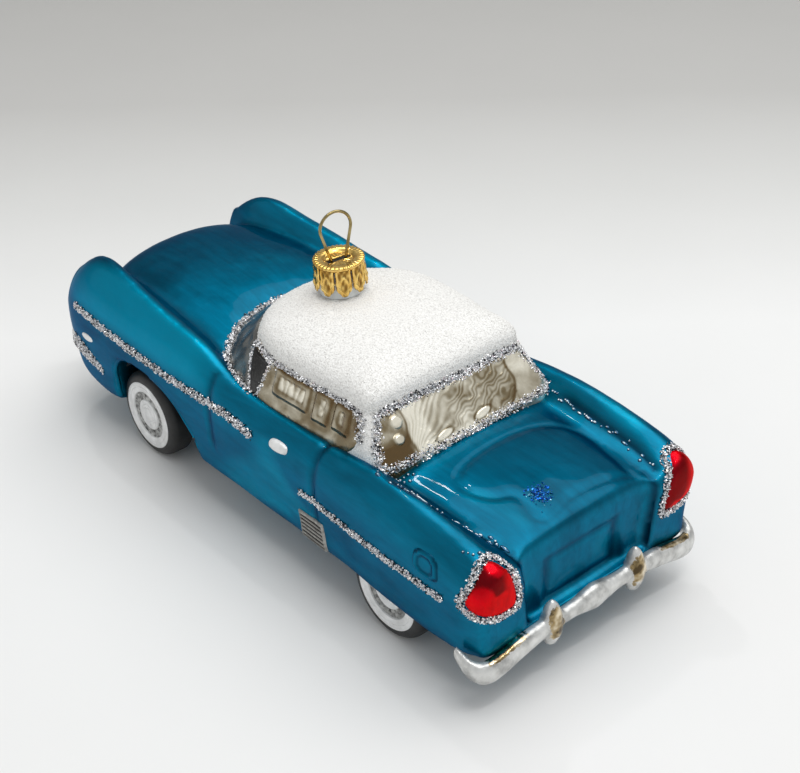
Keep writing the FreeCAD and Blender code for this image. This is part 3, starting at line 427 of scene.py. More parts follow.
NOSE, TAIL = 65.0, -69.0
HALF_WIDTH = 28.2
FLOOR, SIDE = 10.2, 22.7
FRONT_CREST, DOOR_CREST, REAR_CREST, CREST_Y = 38.0, 32.0, 33.7, 23.2
HOOD, DECK = 38.0, 31.0


def guide(base, *offsets):
    """Guide line of (share of the way from the middle to the nose or tail, value near the base)."""
    return [(share, base + offset) for share, offset in offsets]


CREST_Z = (
    guide(REAR_CREST, (-1.0, -6.4), (-0.975, -4.4), (-0.93, -2.6), (-0.8, -1.0), (-0.64, 0.0), (-0.5, -0.3))
    + guide(DOOR_CREST, (-0.34, 0.2), (-0.1, 0.0), (0.05, 1.0))
    + guide(FRONT_CREST, (0.2, -1.8), (0.38, -0.6), (0.6, 0.9), (0.76, 1.9), (0.84, 1.2), (0.91, -1.1),
            (0.975, -4.8), (1.0, -8.6)))
CREST_AT = guide(CREST_Y, (-1.0, -1.6), (-0.95, -0.4), (-0.5, -0.2), (0.0, 0.2), (0.4, -0.3), (0.76, -2.4),
                 (0.93, -3.2), (1.0, -3.6))
CROWN_Z = (
    guide(DECK, (-1.0, -4.2), (-0.97, -2.4), (-0.9, -0.9), (-0.7, 0.0), (-0.5, -0.2), (-0.4, -0.6),
          (0.0, -0.8))
    + guide(HOOD, (0.25, -4.2), (0.4, -1.4), (0.6, 0.0), (0.74, -0.1), (0.83, -0.8), (0.9, -2.6),
            (0.95, -5.5), (1.0, -11.0)))
VALLEY_Z = (
    guide(DECK, (-1.0, -5.0), (-0.95, -3.2), (-0.75, -2.0), (-0.5, -1.4), (-0.3, -1.2), (0.05, -0.6))
    + guide(HOOD, (0.25, -3.4), (0.5, -2.3), (0.7, -2.8), (0.82, -4.2), (0.9, -6.6), (1.0, -12.6)))
VALLEY_AT = guide(CREST_Y, (-1.0, -6.4), (-0.7, -5.2), (-0.4, -3.6), (0.0, -3.0), (0.4, -4.2), (0.8, -6.0),
                  (1.0, -7.0))
WIDTH = guide(HALF_WIDTH, (-1.0, -2.8), (-0.97, -1.0), (-0.9, -0.1), (-0.65, 0.0), (-0.3, -0.6), (0.1, -0.2),
              (0.6, 0.0), (0.86, -0.4), (0.95, -1.4), (1.0, -3.4))
FLOOR_Z = guide(FLOOR, (-1.0, 1.6), (-0.97, -0.2), (-0.88, -1.2), (-0.5, -0.9), (-0.3, -1.2), (0.0, -1.1),
                (0.3, -0.8), (0.6, 0.0), (0.75, -1.6), (0.88, -1.0), (0.96, 1.4), (1.0, 4.6))


def value_at(line, share):
    """Smooth value of a guide line: a cubic between its points, with the slope of their neighbours."""
    last = len(line) - 1
    index = max(i for i in range(last) if line[i][0] <= share)
    (left, low), (right, high) = line[index], line[index + 1]
    before = line[max(index - 1, 0)]
    after = line[min(index + 2, last)]
    span = right - left
    slope_low = (high - before[1]) / (right - before[0]) * span
    slope_high = (after[1] - low) / (after[0] - left) * span
    return cubic(low, slope_low, high, slope_high, (share - left) / span)


def half_section(share):
    """Points (y, z) of the left half of a section, from the underside's middle to the top's middle."""
    width = value_at(WIDTH, share)
    floor = value_at(FLOOR_Z, share)
    crest_y, crest_z = value_at(CREST_AT, share), value_at(CREST_Z, share)
    valley_y, valley_z = value_at(VALLEY_AT, share), value_at(VALLEY_Z, share)
    crown = value_at(CROWN_Z, share)
    side = SIDE - floor
    brow = crest_z - SIDE
    ledge = width - crest_y
    return [
        (0.0, floor), (0.5 * width, floor), (0.84 * width, floor + 0.01 * side),
        (0.95 * width, floor + 0.08 * side), (0.978 * width, floor + 0.45 * side), (width, SIDE),
        (width - 0.04 * ledge, SIDE + 0.42 * brow), (width - 0.3 * ledge, SIDE + 0.76 * brow),
        (crest_y + 0.36 * ledge, SIDE + 0.95 * brow), (crest_y, crest_z),
        (0.55 * crest_y + 0.45 * valley_y, 0.62 * crest_z + 0.38 * valley_z), (valley_y, valley_z),
        (0.74 * valley_y, 0.5 * valley_z + 0.5 * crown), (0.38 * valley_y, 0.12 * valley_z + 0.88 * crown),
        (0.0, crown),
    ]


PER_SPAN = 6
ROW_STEP = 0.6  # distance between two sections
END_ROUND = 2.2  # rounding of the body's ends
END_RINGS = 5
TAIL_RECESS, RECESS_RISE = 2.0, 17.0
RECESS_HALF, RECESS_LOW_HALF, RECESS_LOW = 17.0, 14.9, 13.2
ABOVE, ASIDE = 60.0, 40.0  # heights and widths outside the body
VOXEL = 0.6  # cell of the even mesh that the cut form is cast in
ARCH_X, ARCH_Z, ARCH_HALF, ARCH_RISE = 31.0, 10.2, 17.3, 13.2
ARCH_FRONT, ARCH_SQUARENESS = 13.0, 3.4
ARCH_INNER, ARCH_DEPTH, ARCH_CLEAR = 18.8, 20.0, 0.15
ARCH_CORNERS = 96
DOOR_CREASES = (7.3, -25.0)

# Lines pressed into the trunk, as points (x, y) seen from above
LID_LINE = [(-64.1, -14.1), (-57.3, -15.6), (-50.9, -16.3), (-45.9, -12.9), (-43.7, -2.7), (-46.0, 10.9),
            (-49.6, 12.4), (-54.4, 10.5), (-56.9, 7.4), (-63.9, 7.9), (-63.1, -0.5), (-63.8, -9.5),
            (-64.6, -13.7)]
POOL_LINES = [
    [(-38.5, 23.0), (-45.3, 22.7), (-50.2, 21.4), (-54.2, 20.6), (-56.9, 18.8), (-60.4, 17.6),
     (-65.5, 16.6)],
    [(-37.5, -20.4), (-47.1, -19.9), (-54.5, -19.6), (-61.0, -19.2), (-66.2, -18.4)],
]
SPARKLE = (-59.6, 3.9)


def section_loop(share, inset=0.0):
    """Smooth closed section, moved inwards by inset."""
    half = half_section(share)
    whole = half + [(-y, z) for y, z in reversed(half[1:-1])]
    loop = smooth_loop(whole, PER_SPAN)
    if inset:
        ahead, behind = np.roll(loop, -1, axis=0), np.roll(loop, 1, axis=0)
        along = ahead - behind
        along /= np.linalg.norm(along, axis=1)[:, None]
        loop = loop + inset * np.stack([-along[:, 1], along[:, 0]], axis=1)
    return loop


def body_rings():
    """Rings (x, section) of the body from tail to nose, with rounded ends."""
    inner = {TAIL: TAIL + END_ROUND, NOSE: NOSE - END_ROUND}

    def end_rings(end, way):
        made = []
        for number in range(1, END_RINGS + 1):
            turn = math.radians(90) * number / END_RINGS
            x = end - way * END_ROUND * (1 - math.sin(turn))
            made.append((x, section_loop(inner[end] / abs(end), END_ROUND * (1 - math.cos(turn)))))
        return made

    rings = list(reversed(end_rings(TAIL, -1)))
    count = round((inner[NOSE] - inner[TAIL]) / ROW_STEP)
    for number in range(count + 1):
        x = inner[TAIL] + (inner[NOSE] - inner[TAIL]) * number / count
        rings.append((x, section_loop(x / (NOSE if x > 0 else -TAIL))))
    return rings + end_rings(NOSE, 1)


def applied(obj):
    """Applies an object's modifiers."""
    bpy.context.view_layer.update()
    done = bpy.data.meshes.new_from_object(obj.evaluated_get(bpy.context.evaluated_depsgraph_get()))
    obj.modifiers.clear()
    obj.data = done


def cut_by(obj, cutter):
    step = obj.modifiers.new("cut", "BOOLEAN")
    step.operation = "DIFFERENCE"
    step.solver = "EXACT"
    step.object = cutter
    applied(obj)
    bpy.data.objects.remove(cutter)


def cast(obj, voxel, rounds):
    """Casts an object in one even, softened mesh."""
    remesh = obj.modifiers.new("mould", "REMESH")
    remesh.mode = "VOXEL"
    remesh.voxel_size = voxel * MM
    soften = obj.modifiers.new("soften", "SMOOTH")
    soften.factor, soften.iterations = 0.5, rounds
    applied(obj)


def prism_between(name, outline, start, depth, axis):
    """Closed prism from an outline of two coordinates, along x (axis 0) or y (axis 1)."""
    count = len(outline)
    points = []
    for reach in (start, start + depth):
        for a, b in outline:
            points.append((reach, a, b) if axis == 0 else (a, reach, b))
    obj = new_object(name, points, closed_faces(2, count))
    bm = bmesh.new()
    bm.from_mesh(obj.data)
    bmesh.ops.recalc_face_normals(bm, faces=bm.faces)
    bm.to_mesh(obj.data)
    bm.free()
    return obj


def line_distance(x, y, line):
    """Distance in plan from each point to a line of points (x, y)."""
    nearest = np.full(len(x), 1e3)
    for (x1, y1), (x2, y2) in zip(line, line[1:]):
        span = (x2 - x1) ** 2 + (y2 - y1) ** 2
        share = np.clip(((x - x1) * (x2 - x1) + (y - y1) * (y2 - y1)) / span, 0.0, 1.0)
        nearest = np.minimum(nearest, np.hypot(x - x1 - share * (x2 - x1), y - y1 - share * (y2 - y1)))
    return nearest


def body_relief(x, y, z):
    """How far the glass is pressed in at each point, how much darker the lacquer is made there, mostly as
    painted shade, and how much brighter as a painted highlight.
    """
    inward, dark = np.zeros(len(x)), np.zeros(len(x))

    def press(far, where, depth, width, shade, shade_width):
        """Presses a groove along what far is measured from, and darkens it with painted shade."""
        inward[:] += depth * ridge(far, width) * where
        dark[:] = np.maximum(dark, shade * ridge(far, shade_width) * where)

    side = (np.abs(y) > 20) & (z > 15) & (z < 33.5)
    for crease in DOOR_CREASES:
        press(x - crease, soft_steps(z, 15.5, 18.5) * side, 0.4, 0.8, 0.55, 0.8)
    deck = soft_steps(z, 26.0, 27.0) * soft_steps(-x, 39.0, 44.0)
    for line in POOL_LINES:
        press(line_distance(x, y, line), deck, 0.4, 0.8, 0.8, 0.6)
    press(line_distance(x, y, smooth_loop(LID_LINE, 6, closed=False)), deck, 0.26, 0.9, 0.3, 0.6)
    # a darker round patch of lacquer under the trunk's sparkle
    press(np.hypot(x - SPARKLE[0], y - SPARKLE[1]), deck, 0.0, 3.2, 0.35, 3.2)
    # sides of the tail's recess, and a soft raised panel in its middle, each edged with painted shade
    edge = RECESS_LOW_HALF + (RECESS_HALF - RECESS_LOW_HALF) * (z - RECESS_LOW) / RECESS_RISE
    press(np.abs(y) - edge - 0.2, (x < TAIL + 4) & (z > FLOOR + 3), 0.3, 0.6, 0.8, 0.6)
    panel = np.maximum(np.abs(y - 0.5) / 8.5, np.abs(z - 18.6) / 4.2)
    press(panel - 1.0, x < TAIL + 3, 0.3, 0.12, 0.5, 0.12)
    # painted shade on the middles of the trunk and hood, and a painted highlight on the front fenders'
    # shoulders
    between = soft_steps(-np.abs(y), -19.0, -16.0)
    dark = np.maximum(dark, 0.42 * between * soft_steps(z, 26.5, 28.5) * soft_steps(-x, 40.0, 44.0))
    dark = np.maximum(dark, 0.26 * between * soft_steps(z, 31.0, 33.5) * soft_steps(x, 16.0, 24.0))
    painted_highlight = 0.62 * soft_steps(np.abs(y), 21.5, 24.0) * soft_steps(z, 27.0, 31.5) * soft_steps(x, 2.0, 16.0)
    return inward, dark, painted_highlight


def arch_point(turn, clear):
    """Point (x, z) of a front wheel arch: steep in front of the wheel, an ellipse behind it."""
    across, up = math.cos(turn), math.sin(turn)
    if across > 0:
        reach = (abs(across) ** ARCH_SQUARENESS + abs(up) ** ARCH_SQUARENESS) ** (-1 / ARCH_SQUARENESS)
        return ARCH_X + (ARCH_FRONT + clear) * across * reach, ARCH_Z + (ARCH_RISE + clear) * up * reach
    return ARCH_X + (ARCH_HALF + clear) * across, ARCH_Z + (ARCH_RISE + clear) * up


def soften_deck_edge(obj):
    """Rounds the trunk's rear edge broadly, and only that edge."""
    group = obj.vertex_groups.new(name="deck_edge")
    for vertex in obj.data.vertices:
        x, y, z = vertex.co / MM
        weight = (1 - soft_step(x, -64.5, -61.5)) * soft_step(z, 22.5, 26.0)
        weight *= 1 - soft_step(abs(y), 14.6, 16.4)
        if weight > 0:
            group.add([vertex.index], weight, "REPLACE")
    soften = obj.modifiers.new("soften", "SMOOTH")
    soften.factor, soften.iterations = 0.5, 45
    soften.vertex_group = group.name
    applied(obj)


def build_body():
    """The body, cut and cast in one mesh, with its pressed lines."""
    rings = body_rings()
    points = [(x, y, z) for x, loop in rings for y, z in loop]
    obj = new_object("glass_body", points, closed_faces(len(rings), len(rings[0][1])))
    spread = RECESS_HALF - RECESS_LOW_HALF
    half = [(RECESS_LOW_HALF, RECESS_LOW), (RECESS_HALF, RECESS_LOW + RECESS_RISE),
            (RECESS_HALF + spread, ABOVE)]
    recess = half + [(-y, z) for y, z in reversed(half)]
    cut_by(obj, prism_between("recess", recess, TAIL - 10, 10 + TAIL_RECESS, 0))
    outline = [arch_point(2 * math.pi * corner / ARCH_CORNERS, ARCH_CLEAR) for corner in range(ARCH_CORNERS)]
    for side in SIDES.values():
        cut_by(obj, prism_between("arch", outline, side * ARCH_INNER, side * ARCH_DEPTH, 1))
    cast(obj, VOXEL, 5)
    soften_deck_edge(obj)
    vertices = obj.data.vertices
    places = np.empty((len(vertices), 3), dtype=np.float32)
    normals = np.empty((len(vertices), 3), dtype=np.float32)
    vertices.foreach_get("co", places.ravel())
    vertices.foreach_get("normal", normals.ravel())
    places /= MM
    inward, dark, painted_highlight = body_relief(*places.T.astype(float))
    for index, place in enumerate(places.copy()):
        spot = Vector(place.tolist())
        swell = 0.14 * (noise.noise(spot / 11.0) + 0.3 * noise.noise(spot / 4.0))
        places[index] -= normals[index] * (inward[index] + 0.08 + swell)
    vertices.foreach_set("co", (places * MM).ravel())
    obj.data.update()
    obj.data.shade_smooth()
    obj.data.materials.append(BLUE)
    # painted shade and painted highlight of the lacquer, stored for its material
    store_tone(obj, "crease", dark)
    store_tone(obj, "painted_highlight", painted_highlight)
    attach(obj, "glass")
    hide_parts("body_shell")
    return obj


body = build_body()


def tree_of(*objs):
    """Search tree, in millimetres, over the meshes of objects as modelled."""
    points, faces = [], []
    for obj in objs:
        start = len(points)
        points += [vertex.co / MM for vertex in obj.data.vertices]
        faces += [[start + index for index in face.vertices] for face in obj.data.polygons]
    return BVHTree.FromPolygons(points, faces)


BODY_TREE = tree_of(body)


# Cabin: one smooth surface through the same outlines as the solid model

BELT, HEADER, ROOF = 31.2, 39.5, 46.2
BELT_SIZES = (25.5, -38.5, 23.2, 0.2, 0.93)
HEADER_SIZES = (12.0, -32.4, 20.0, 0.2, 0.93)
DOME_SQUARENESS, FRONT_SQUARENESS = 3.2, 2.2
OUTLINE_SPAN = 12


def cabin_outline(front, rear, half_width, corner_share, tail_share):
    """Half of a cabin outline seen from above, from its front to its rear, as points (y, x)."""
    length = front - rear
    corner = front - corner_share * length
    return [
        (0.0, front), (0.3 * half_width, front - 0.08 * corner_share * length),
        (0.6 * half_width, front - 0.38 * corner_share * length), (0.86 * half_width, corner),
        (0.97 * half_width, corner - 0.13 * length), (half_width, corner - 0.27 * length),
        (0.985 * half_width, corner - 0.45 * length), (0.955 * half_width, corner - 0.6 * length),
        (tail_share * half_width, rear + 0.035 * length), (0.84 * half_width, rear + 0.01 * length),
        (0.42 * half_width, rear + 0.003 * length), (0.0, rear),
    ]


def whole_outline(sizes):
    half = cabin_outline(*sizes)
    return smooth_loop(half + [(-y, x) for y, x in reversed(half[1:-1])], OUTLINE_SPAN)


BELT_LOOP = whole_outline(BELT_SIZES)
HEADER_LOOP = whole_outline(HEADER_SIZES)
ROUND = len(BELT_LOOP)  # columns round the cabin; column 0 is the front's middle, then the left side


def cabin_ring(level):
    """Ring (x, y, z) at a level: 0 is the belt, 1 the windows' top, 2 the roof's top."""
    if level <= 1:
        ring = BELT_LOOP + (HEADER_LOOP - BELT_LOOP) * max(level, 0.0)
        z = BELT + level * (HEADER - BELT)
        return np.stack([ring[:, 1], ring[:, 0], np.full(ROUND, z)], axis=1)
    rise = min(level - 1, 0.9995)
    shrink = (1 - rise ** DOME_SQUARENESS) ** (1 / DOME_SQUARENESS)
    front_shrink = (1 - rise ** FRONT_SQUARENESS) ** (1 / FRONT_SQUARENESS)
    middle = 0.5 * (HEADER_SIZES[0] + HEADER_SIZES[1])
    x = HEADER_LOOP[:, 1] - middle
    x = middle + np.where(x > 0, x * front_shrink, x * shrink)
    z = HEADER + rise * (ROOF - HEADER)
    return np.stack([x, HEADER_LOOP[:, 0] * shrink, np.full(ROUND, z)], axis=1)


def dome_level(share):
    """Level over the roof, closer together towards its top so that the rings are even."""
    return 1 + (1 - (1 - math.sin(math.radians(90) * share)) ** 0.9)


DOME_RINGS = 46
CABIN_LEVELS = [-0.7] + [0.05 * number for number in range(21)]
CABIN_LEVELS += [dome_level(number / DOME_RINGS) for number in range(1, DOME_RINGS + 1)]


def build_roof():
    points = np.concatenate([cabin_ring(level) for level in CABIN_LEVELS])
    for index, (x, y, z) in enumerate(points.copy()):
        rough = noise.noise(Vector((x, y, z)) * 1.9) + 0.6 * noise.noise(Vector((x, y, z)) * 4.1)
        lift = 0.06 * rough - 0.1
        outward = Vector((x + 10, y, 1.6 * (z - 34))).normalized()
        points[index] += np.array(outward) * lift
    faces = closed_faces(len(CABIN_LEVELS), ROUND)
    return make_piece("roof_grain", points, faces, GRAIN, ["roof"])


roof = build_roof()
CABIN_TREE = tree_of(roof)
GLASS_TREE = tree_of(body, roof)


def column_where(level, x, side):
    """Position round the cabin, as a column number, at which the ring passes x on the left or right side."""
    ring = cabin_ring(level)
    half = ROUND // 2
    for column in range(half):
        here, after = ring[column][0], ring[column + 1][0]
        if here >= x > after:
            found = column + (here - x) / (here - after)
            return found if side > 0 else ROUND - found
    return half


def cabin_at(level, column):
    """Point of the cabin at a level and a position round it, and its outward direction."""
    index = math.floor(column)
    part = column - index
    index %= ROUND

    def on(height):
        ring = cabin_ring(height)
        return ring[index] * (1 - part) + ring[(index + 1) % ROUND] * part

    point, above, below = on(level), on(level + 0.03), on(level - 0.03)
    ring = cabin_ring(level)
    along = ring[(index + 2) % ROUND] - ring[index - 1]
    outward = Vector(along).cross(Vector(above - below)).normalized()
    if outward.dot(Vector((point[0] + 10, point[1], 0))) < 0:
        outward.negate()
    return Vector(point), outward


# Edges of the windows, as x at the belt and at the windows' top, and the rounded end of the side windows
WINDSHIELD_X, REAR_WINDOW_X, QUARTER_X = (-1.3, 4.0), (-36.8, -32.0), (-2.4, -4.7)
END_X, END_Z, END_DEEP, END_HIGH = -27.2, 35.6, 3.6, 4.2
PROUD = 0.16  # how far a window stands off the cabin


def edge_between(foot, head, side, turns=0):
    """Position round the cabin at each level of an edge from its foot to its head."""
    def position(level):
        return column_where(level, foot + (head - foot) * level, side) - turns * ROUND
    return position


def finish_patch(name, points, faces, dark, outward, material, replaced):
    """Piece whose faces look outward, with how dark it is stored at each point."""
    obj = make_piece(name, points, facing(points, faces, outward), material, replaced)
    store_tone(obj, "crease", dark)


def cabin_patch(name, start, end, low, top, rows, columns, relief, material, replaced):
    """Patch of the cabin's surface between two positions at each level, with its edges tucked in."""
    points, dark = [], []
    for row in range(rows):
        v = row / (rows - 1)
        level = low + (top - low) * v
        first, last = start(level), end(level)
        for column in range(columns):
            u = column / (columns - 1)
            point, outward = cabin_at(level, first + (last - first) * u)
            lift, shade = relief(point, u, v)
            tuck = soft_step(min(u * columns, (1 - u) * columns, v * rows, (1 - v) * rows), 0.0, 2.0)
            points.append(point + outward * ((PROUD + lift) * tuck - 0.25 * (1 - tuck)))
            dark.append(shade)
    middle = cabin_at(0.5, 0.5 * (start(0.5) + end(0.5)))[1]
    finish_patch(name, points, grid_faces(rows, columns), dark, middle, material, replaced)


def plain_relief(point, u, v):
    """Slow waves only."""
    flow = noise.noise(point / 3.0)
    return 0.12 * flow, 0.5 + 0.5 * flow


# Seat backs seen in the side windows, as (x from, x to, z from, z to)
SEATS = [(-17.2, -7.2, 34.4, 39.2), (-22.6, -18.6, 34.0, 39.4), (-28.0, -23.8, 34.3, 38.9)]


def side_relief(point, u, v):
    """Seat backs outlined with painted shade, in a window with painted shade at its edges and across it,
    darker to the rear.
    """
    flow = noise.noise(point / 2.5)
    lift = 0.1 * flow
    tone = 0.56 + 0.3 * flow + 0.35 * soft_step(-point.x, 25.0, 30.0)
    for x_low, x_high, z_low, z_high in SEATS:
        inside = box_bump(point.x, x_low, x_high) * box_bump(point.z, z_low, z_high)
        core = box_bump(point.x, x_low + 1.3, x_high - 1.3) * box_bump(point.z, z_low + 1.1, z_high - 1.1)
        outline = max(1 - abs(2 * inside - 1), 0.7 * (1 - abs(2 * core - 1)))
        ripple = math.sin(4.2 * point.x + 3.0 * noise.noise(point / 1.5)) * core
        lift += 0.55 * inside - 0.3 * core + 0.12 * ripple
        tone += 0.5 * outline - 0.28 * core + 0.2 * ripple
    tone += 0.45 * ridge(v - 0.28, 0.035) + 0.5 * soft_step(abs(v - 0.55), 0.38, 0.45)
    tone += 0.6 * (1 - soft_step(u, 0.06, 0.13))
    return lift, tone


REAR_OVALS = [(-3.6, 32.9, 2.1, 0.62), (6.0, 32.6, 2.0, 0.58)]  # (y, z, half width, half height)
REAR_BLOBS = [(15.4, 34.9, 1.3, 0.9), (14.6, 37.4, 1.5, 1.2)]
REAR_DIVIDER, REAR_HORN = 13.0, -12.9


def rear_relief(point, u, v):
    """Engraved seat back between two dividers, with pale ovals and a brown left corner; dark lines and edges
    are painted shade.
    """
    y, z = point.y, point.z
    warp = noise.noise(point / 4.0)
    fan = math.atan2(z - 30.4, 13.5 - y + 1.5)
    curl = noise.noise(point / 1.8)
    share = soft_step(y, 1.0, 5.0)
    hair = share * math.sin(62 * fan + 9 * warp)
    hair += (1 - share) * math.sin(7.0 * z + 2.8 * y + 9 * warp + 8 * curl)
    middle = box_bump(y, REAR_HORN, REAR_DIVIDER, 0.3)
    lift = 0.032 * hair * middle + 0.08 * warp
    tone = 0.3 + 0.15 * hair * middle + 0.24 * warp - 0.34 * box_bump(y, 8.5, REAR_DIVIDER - 0.2, 1.2)
    tone += 0.3 * soft_step(-y, -2.0, 10.0) * middle - 0.2 * box_bump(z, 31.0, 32.6, 0.4) * middle
    tone += 0.6 * ridge(y - REAR_DIVIDER - 0.35 * math.sin(1.1 * (z - 33)), 0.35)
    tone += 0.55 * ridge(y - REAR_HORN + 0.35 * (z - 36) + 0.8 * math.sin(0.9 * (z - 33)), 0.3)
    brown = soft_step(y, REAR_DIVIDER, REAR_DIVIDER + 1.0)
    tone += brown * (0.2 + 0.55 * (1 - soft_step(z, 33.8, 36.0)))
    for centre, height, wide, high in REAR_OVALS:
        reach = math.hypot((y - centre) / wide, (z - height - 0.12 * (centre - y)) / high)
        inside = 1 - soft_step(reach, 0.75, 1.0)
        lift += 0.08 * inside
        tone = tone * (1 - inside) - 0.1 * inside + 0.36 * ridge(reach - 1.1, 0.16)
    for centre, height, wide, high in REAR_BLOBS:
        inside = 1 - soft_step(math.hypot((y - centre) / wide, (z - height) / high), 0.6, 1.0)
        lift += 0.4 * inside
        tone *= 1 - 0.85 * inside
    tone += 0.4 * soft_step(abs(v - 0.55), 0.4, 0.46)
    return lift, tone


def rounded_rear(side):
    """Position round the cabin at each level of a side window's rounded rear end."""
    def position(level):
        rise = (BELT + level * (HEADER - BELT) - END_Z) / END_HIGH
        x = END_X - END_DEEP * math.sqrt(max(1 - min(abs(rise), 1.0) ** 2.6, 0.0))
        return column_where(level, x, side)
    return position


WINDOW_LOW, WINDOW_TOP = -0.35, 0.98
windshield_start, windshield_end = edge_between(*WINDSHIELD_X, -1, turns=1), edge_between(*WINDSHIELD_X, 1)
rear_start, rear_end = edge_between(*REAR_WINDOW_X, 1), edge_between(*REAR_WINDOW_X, -1)
for side_name, side in SIDES.items():
    cabin_patch(f"side_glass_{side_name}", edge_between(*WINDSHIELD_X, side), rounded_rear(side), WINDOW_LOW,
                WINDOW_TOP, 56, 150, side_relief, CHAMPAGNE, [f"side_window_{side_name}"])
cabin_patch("windshield_glass", windshield_start, windshield_end, -0.5, WINDOW_TOP, 36, 130, plain_relief,
            DARK_SILVER, ["windshield"])
cabin_patch("rear_glass", rear_start, rear_end, WINDOW_LOW, WINDOW_TOP, 72, 240, rear_relief,
            CHAMPAGNE, ["rear_window"])

# Black quarter lights behind the windshield pillars
QUARTER_FRONT_X = [x - 0.3 for x in WINDSHIELD_X]
for side_name, side in SIDES.items():
    cabin_patch(f"quarter_light_{side_name}", edge_between(*QUARTER_FRONT_X, side),
                edge_between(*QUARTER_X, side), -0.2, 0.95, 30, 30, lambda point, u, v: (0.22, 0.5),
                BLACK_GLASS, [])


# Relief on the body: patches laid on its surface

def on_body(origin, direction):
    """Where a ray from a point meets the body, and the surface's outward direction there."""
    place, normal, _, _ = BODY_TREE.ray_cast(Vector(origin), Vector(direction).normalized())
    if place is None:
        place, normal, _, _ = BODY_TREE.find_nearest(Vector(origin))
    if normal.dot(Vector(direction)) > 0:
        normal.negate()
    return place, normal


def on_side(x, z, side):
    return on_body((x, side * ASIDE, z), (0, -side, 0))


def on_top(x, y):
    return on_body((x, y, ABOVE), (0, 0, -1))


def rounded(u, v, squareness):
    """A unit square's point moved so that the square's corners become round."""
    a, b = 2 * u - 1, 2 * v - 1
    reach = max(abs(a), abs(b))
    if squareness is None or reach < 1e-6:
        return u, v
    length = (abs(a) ** squareness + abs(b) ** squareness) ** (1 / squareness)
    return 0.5 + 0.5 * a * reach / length, 0.5 + 0.5 * b * reach / length


def side_patch(name, corners, side, squareness, rows, columns, relief, material, replaced):
    """Patch on the body's side between four corners (x, z), which a squareness rounds."""
    a, b, c, d = (Vector(corner) for corner in corners)
    points, dark = [], []
    for row in range(rows):
        for column in range(columns):
            u, v = column / (columns - 1), row / (rows - 1)
            across, up = rounded(u, v, squareness)
            spot = (a * (1 - across) * (1 - up) + b * across * (1 - up)
                    + c * across * up + d * (1 - across) * up)
            place, normal = on_side(*spot, side)
            edge = min(u * (columns - 1), (1 - u) * (columns - 1), v * (rows - 1), (1 - v) * (rows - 1))
            lift, shade = relief(u, v)
            tuck = soft_step(edge, 0.0, 1.6)
            points.append(place + normal * (lift * tuck - 0.2 * (1 - tuck)))
            dark.append(shade)
    finish_patch(name, points, grid_faces(rows, columns), dark, (0, side, 0), material, replaced)


def fan_patch(name, outline, direction, rings, relief, material, slot, replaced, per_span=4):
    """Patch on the body inside a smooth outline. Its relief goes by the share, 1 at the rim and 0 inside."""
    rim = smooth_loop(outline, per_span)
    centre = rim.mean(axis=0)
    points, dark = [], []
    for ring in range(rings + 1):
        share = 1 - ring / rings
        for spot in rim:
            place, normal = on_body(centre + (spot - centre) * max(share, 0.01), direction)
            lift, shade = relief(share, place)
            tuck = soft_step(ring, 0.0, 1.5)
            points.append(place + normal * (lift * tuck - 0.2 * (1 - tuck)))
            dark.append(shade)
    count = len(rim)
    faces = grid_faces(rings + 1, count, wrap=True) + [tuple(range(rings * count, (rings + 1) * count))]
    finish_patch(name, points, faces, dark, -Vector(direction), material, replaced)


# Rim of a tail lamp's glitter edge on the left side, as points on the glass
LAMP_RIM = [(-65.4, 21.6, 30.0), (-66.6, 20.2, 28.8), (-68.3, 19.2, 27.0), (-68.9, 18.5, 24.4),
            (-68.9, 17.9, 21.4), (-68.9, 18.2, 19.4), (-69.0, 20.8, 19.0), (-68.9, 23.2, 19.3),
            (-68.6, 25.4, 20.0), (-67.4, 26.8, 20.6), (-65.0, 27.5, 21.4), (-64.4, 27.7, 22.6),
            (-65.4, 27.2, 25.4), (-66.0, 26.2, 27.8), (-65.6, 24.4, 29.6), (-65.2, 23.0, 30.3)]
LAMP_BACK = 14.0  # how far behind the glass the outline is drawn
LAMP_SHARE, LAMP_EDGE_SHARE = 0.89, 0.97  # sizes of the red glass and of the middle of its glitter edge


def lamp_outline(side, share):
    """Outline in the shape of the lamp's rim, behind the car, and the way from it to the glass."""
    direction = Vector((0.78, -side * 0.42, -0.46))
    rim = np.array([(x, side * y, z) for x, y, z in LAMP_RIM])
    centre = rim.mean(axis=0)
    return centre + (rim - centre) * share - np.array(direction) * LAMP_BACK, direction


def lamp_relief(share, place):
    """Domed red glass with a dark reflection across its upper part."""
    height = place.z - 0.35 * (abs(place.y) - 23) + 1.6 * noise.noise(place / 2.4)
    low = 25.4 if place.y > 0 else 21.6
    mark = box_bump(height, low, 28.8) * soft_step(place.y - math.copysign(23.0, place.y), -2.4, -0.2)
    return 0.25 + 0.55 * (1 - share ** 2), 0.8 * mark


SLOTS = 6


def vent_relief(u, v):
    """Raised grey frame and bars, with dark slots between them."""
    phase = (v - 0.05) / 0.9 * SLOTS % 1.0
    if min(u, 1 - u) < 0.07 or min(v, 1 - v) < 0.05 or phase > 0.64:
        return 0.42, 0.0
    return 0.1, 1.0


def handle_relief(u, v):
    reach = max(abs(2 * u - 1), abs(2 * v - 1))
    return 0.75 * max(1 - reach ** 3, 0.0) ** 0.5, 0.0


def flap_relief(u, v):
    """Square flap with a raised rim between two dark lines of painted shade."""
    reach = (abs(2 * u - 1) ** 4 + abs(2 * v - 1) ** 4) ** 0.25
    dark = max(0.8 * ridge(reach - 0.94, 0.1), 0.6 * ridge(reach - 0.54, 0.09))
    return 0.12 + 0.36 * ridge(reach - 0.74, 0.14), dark


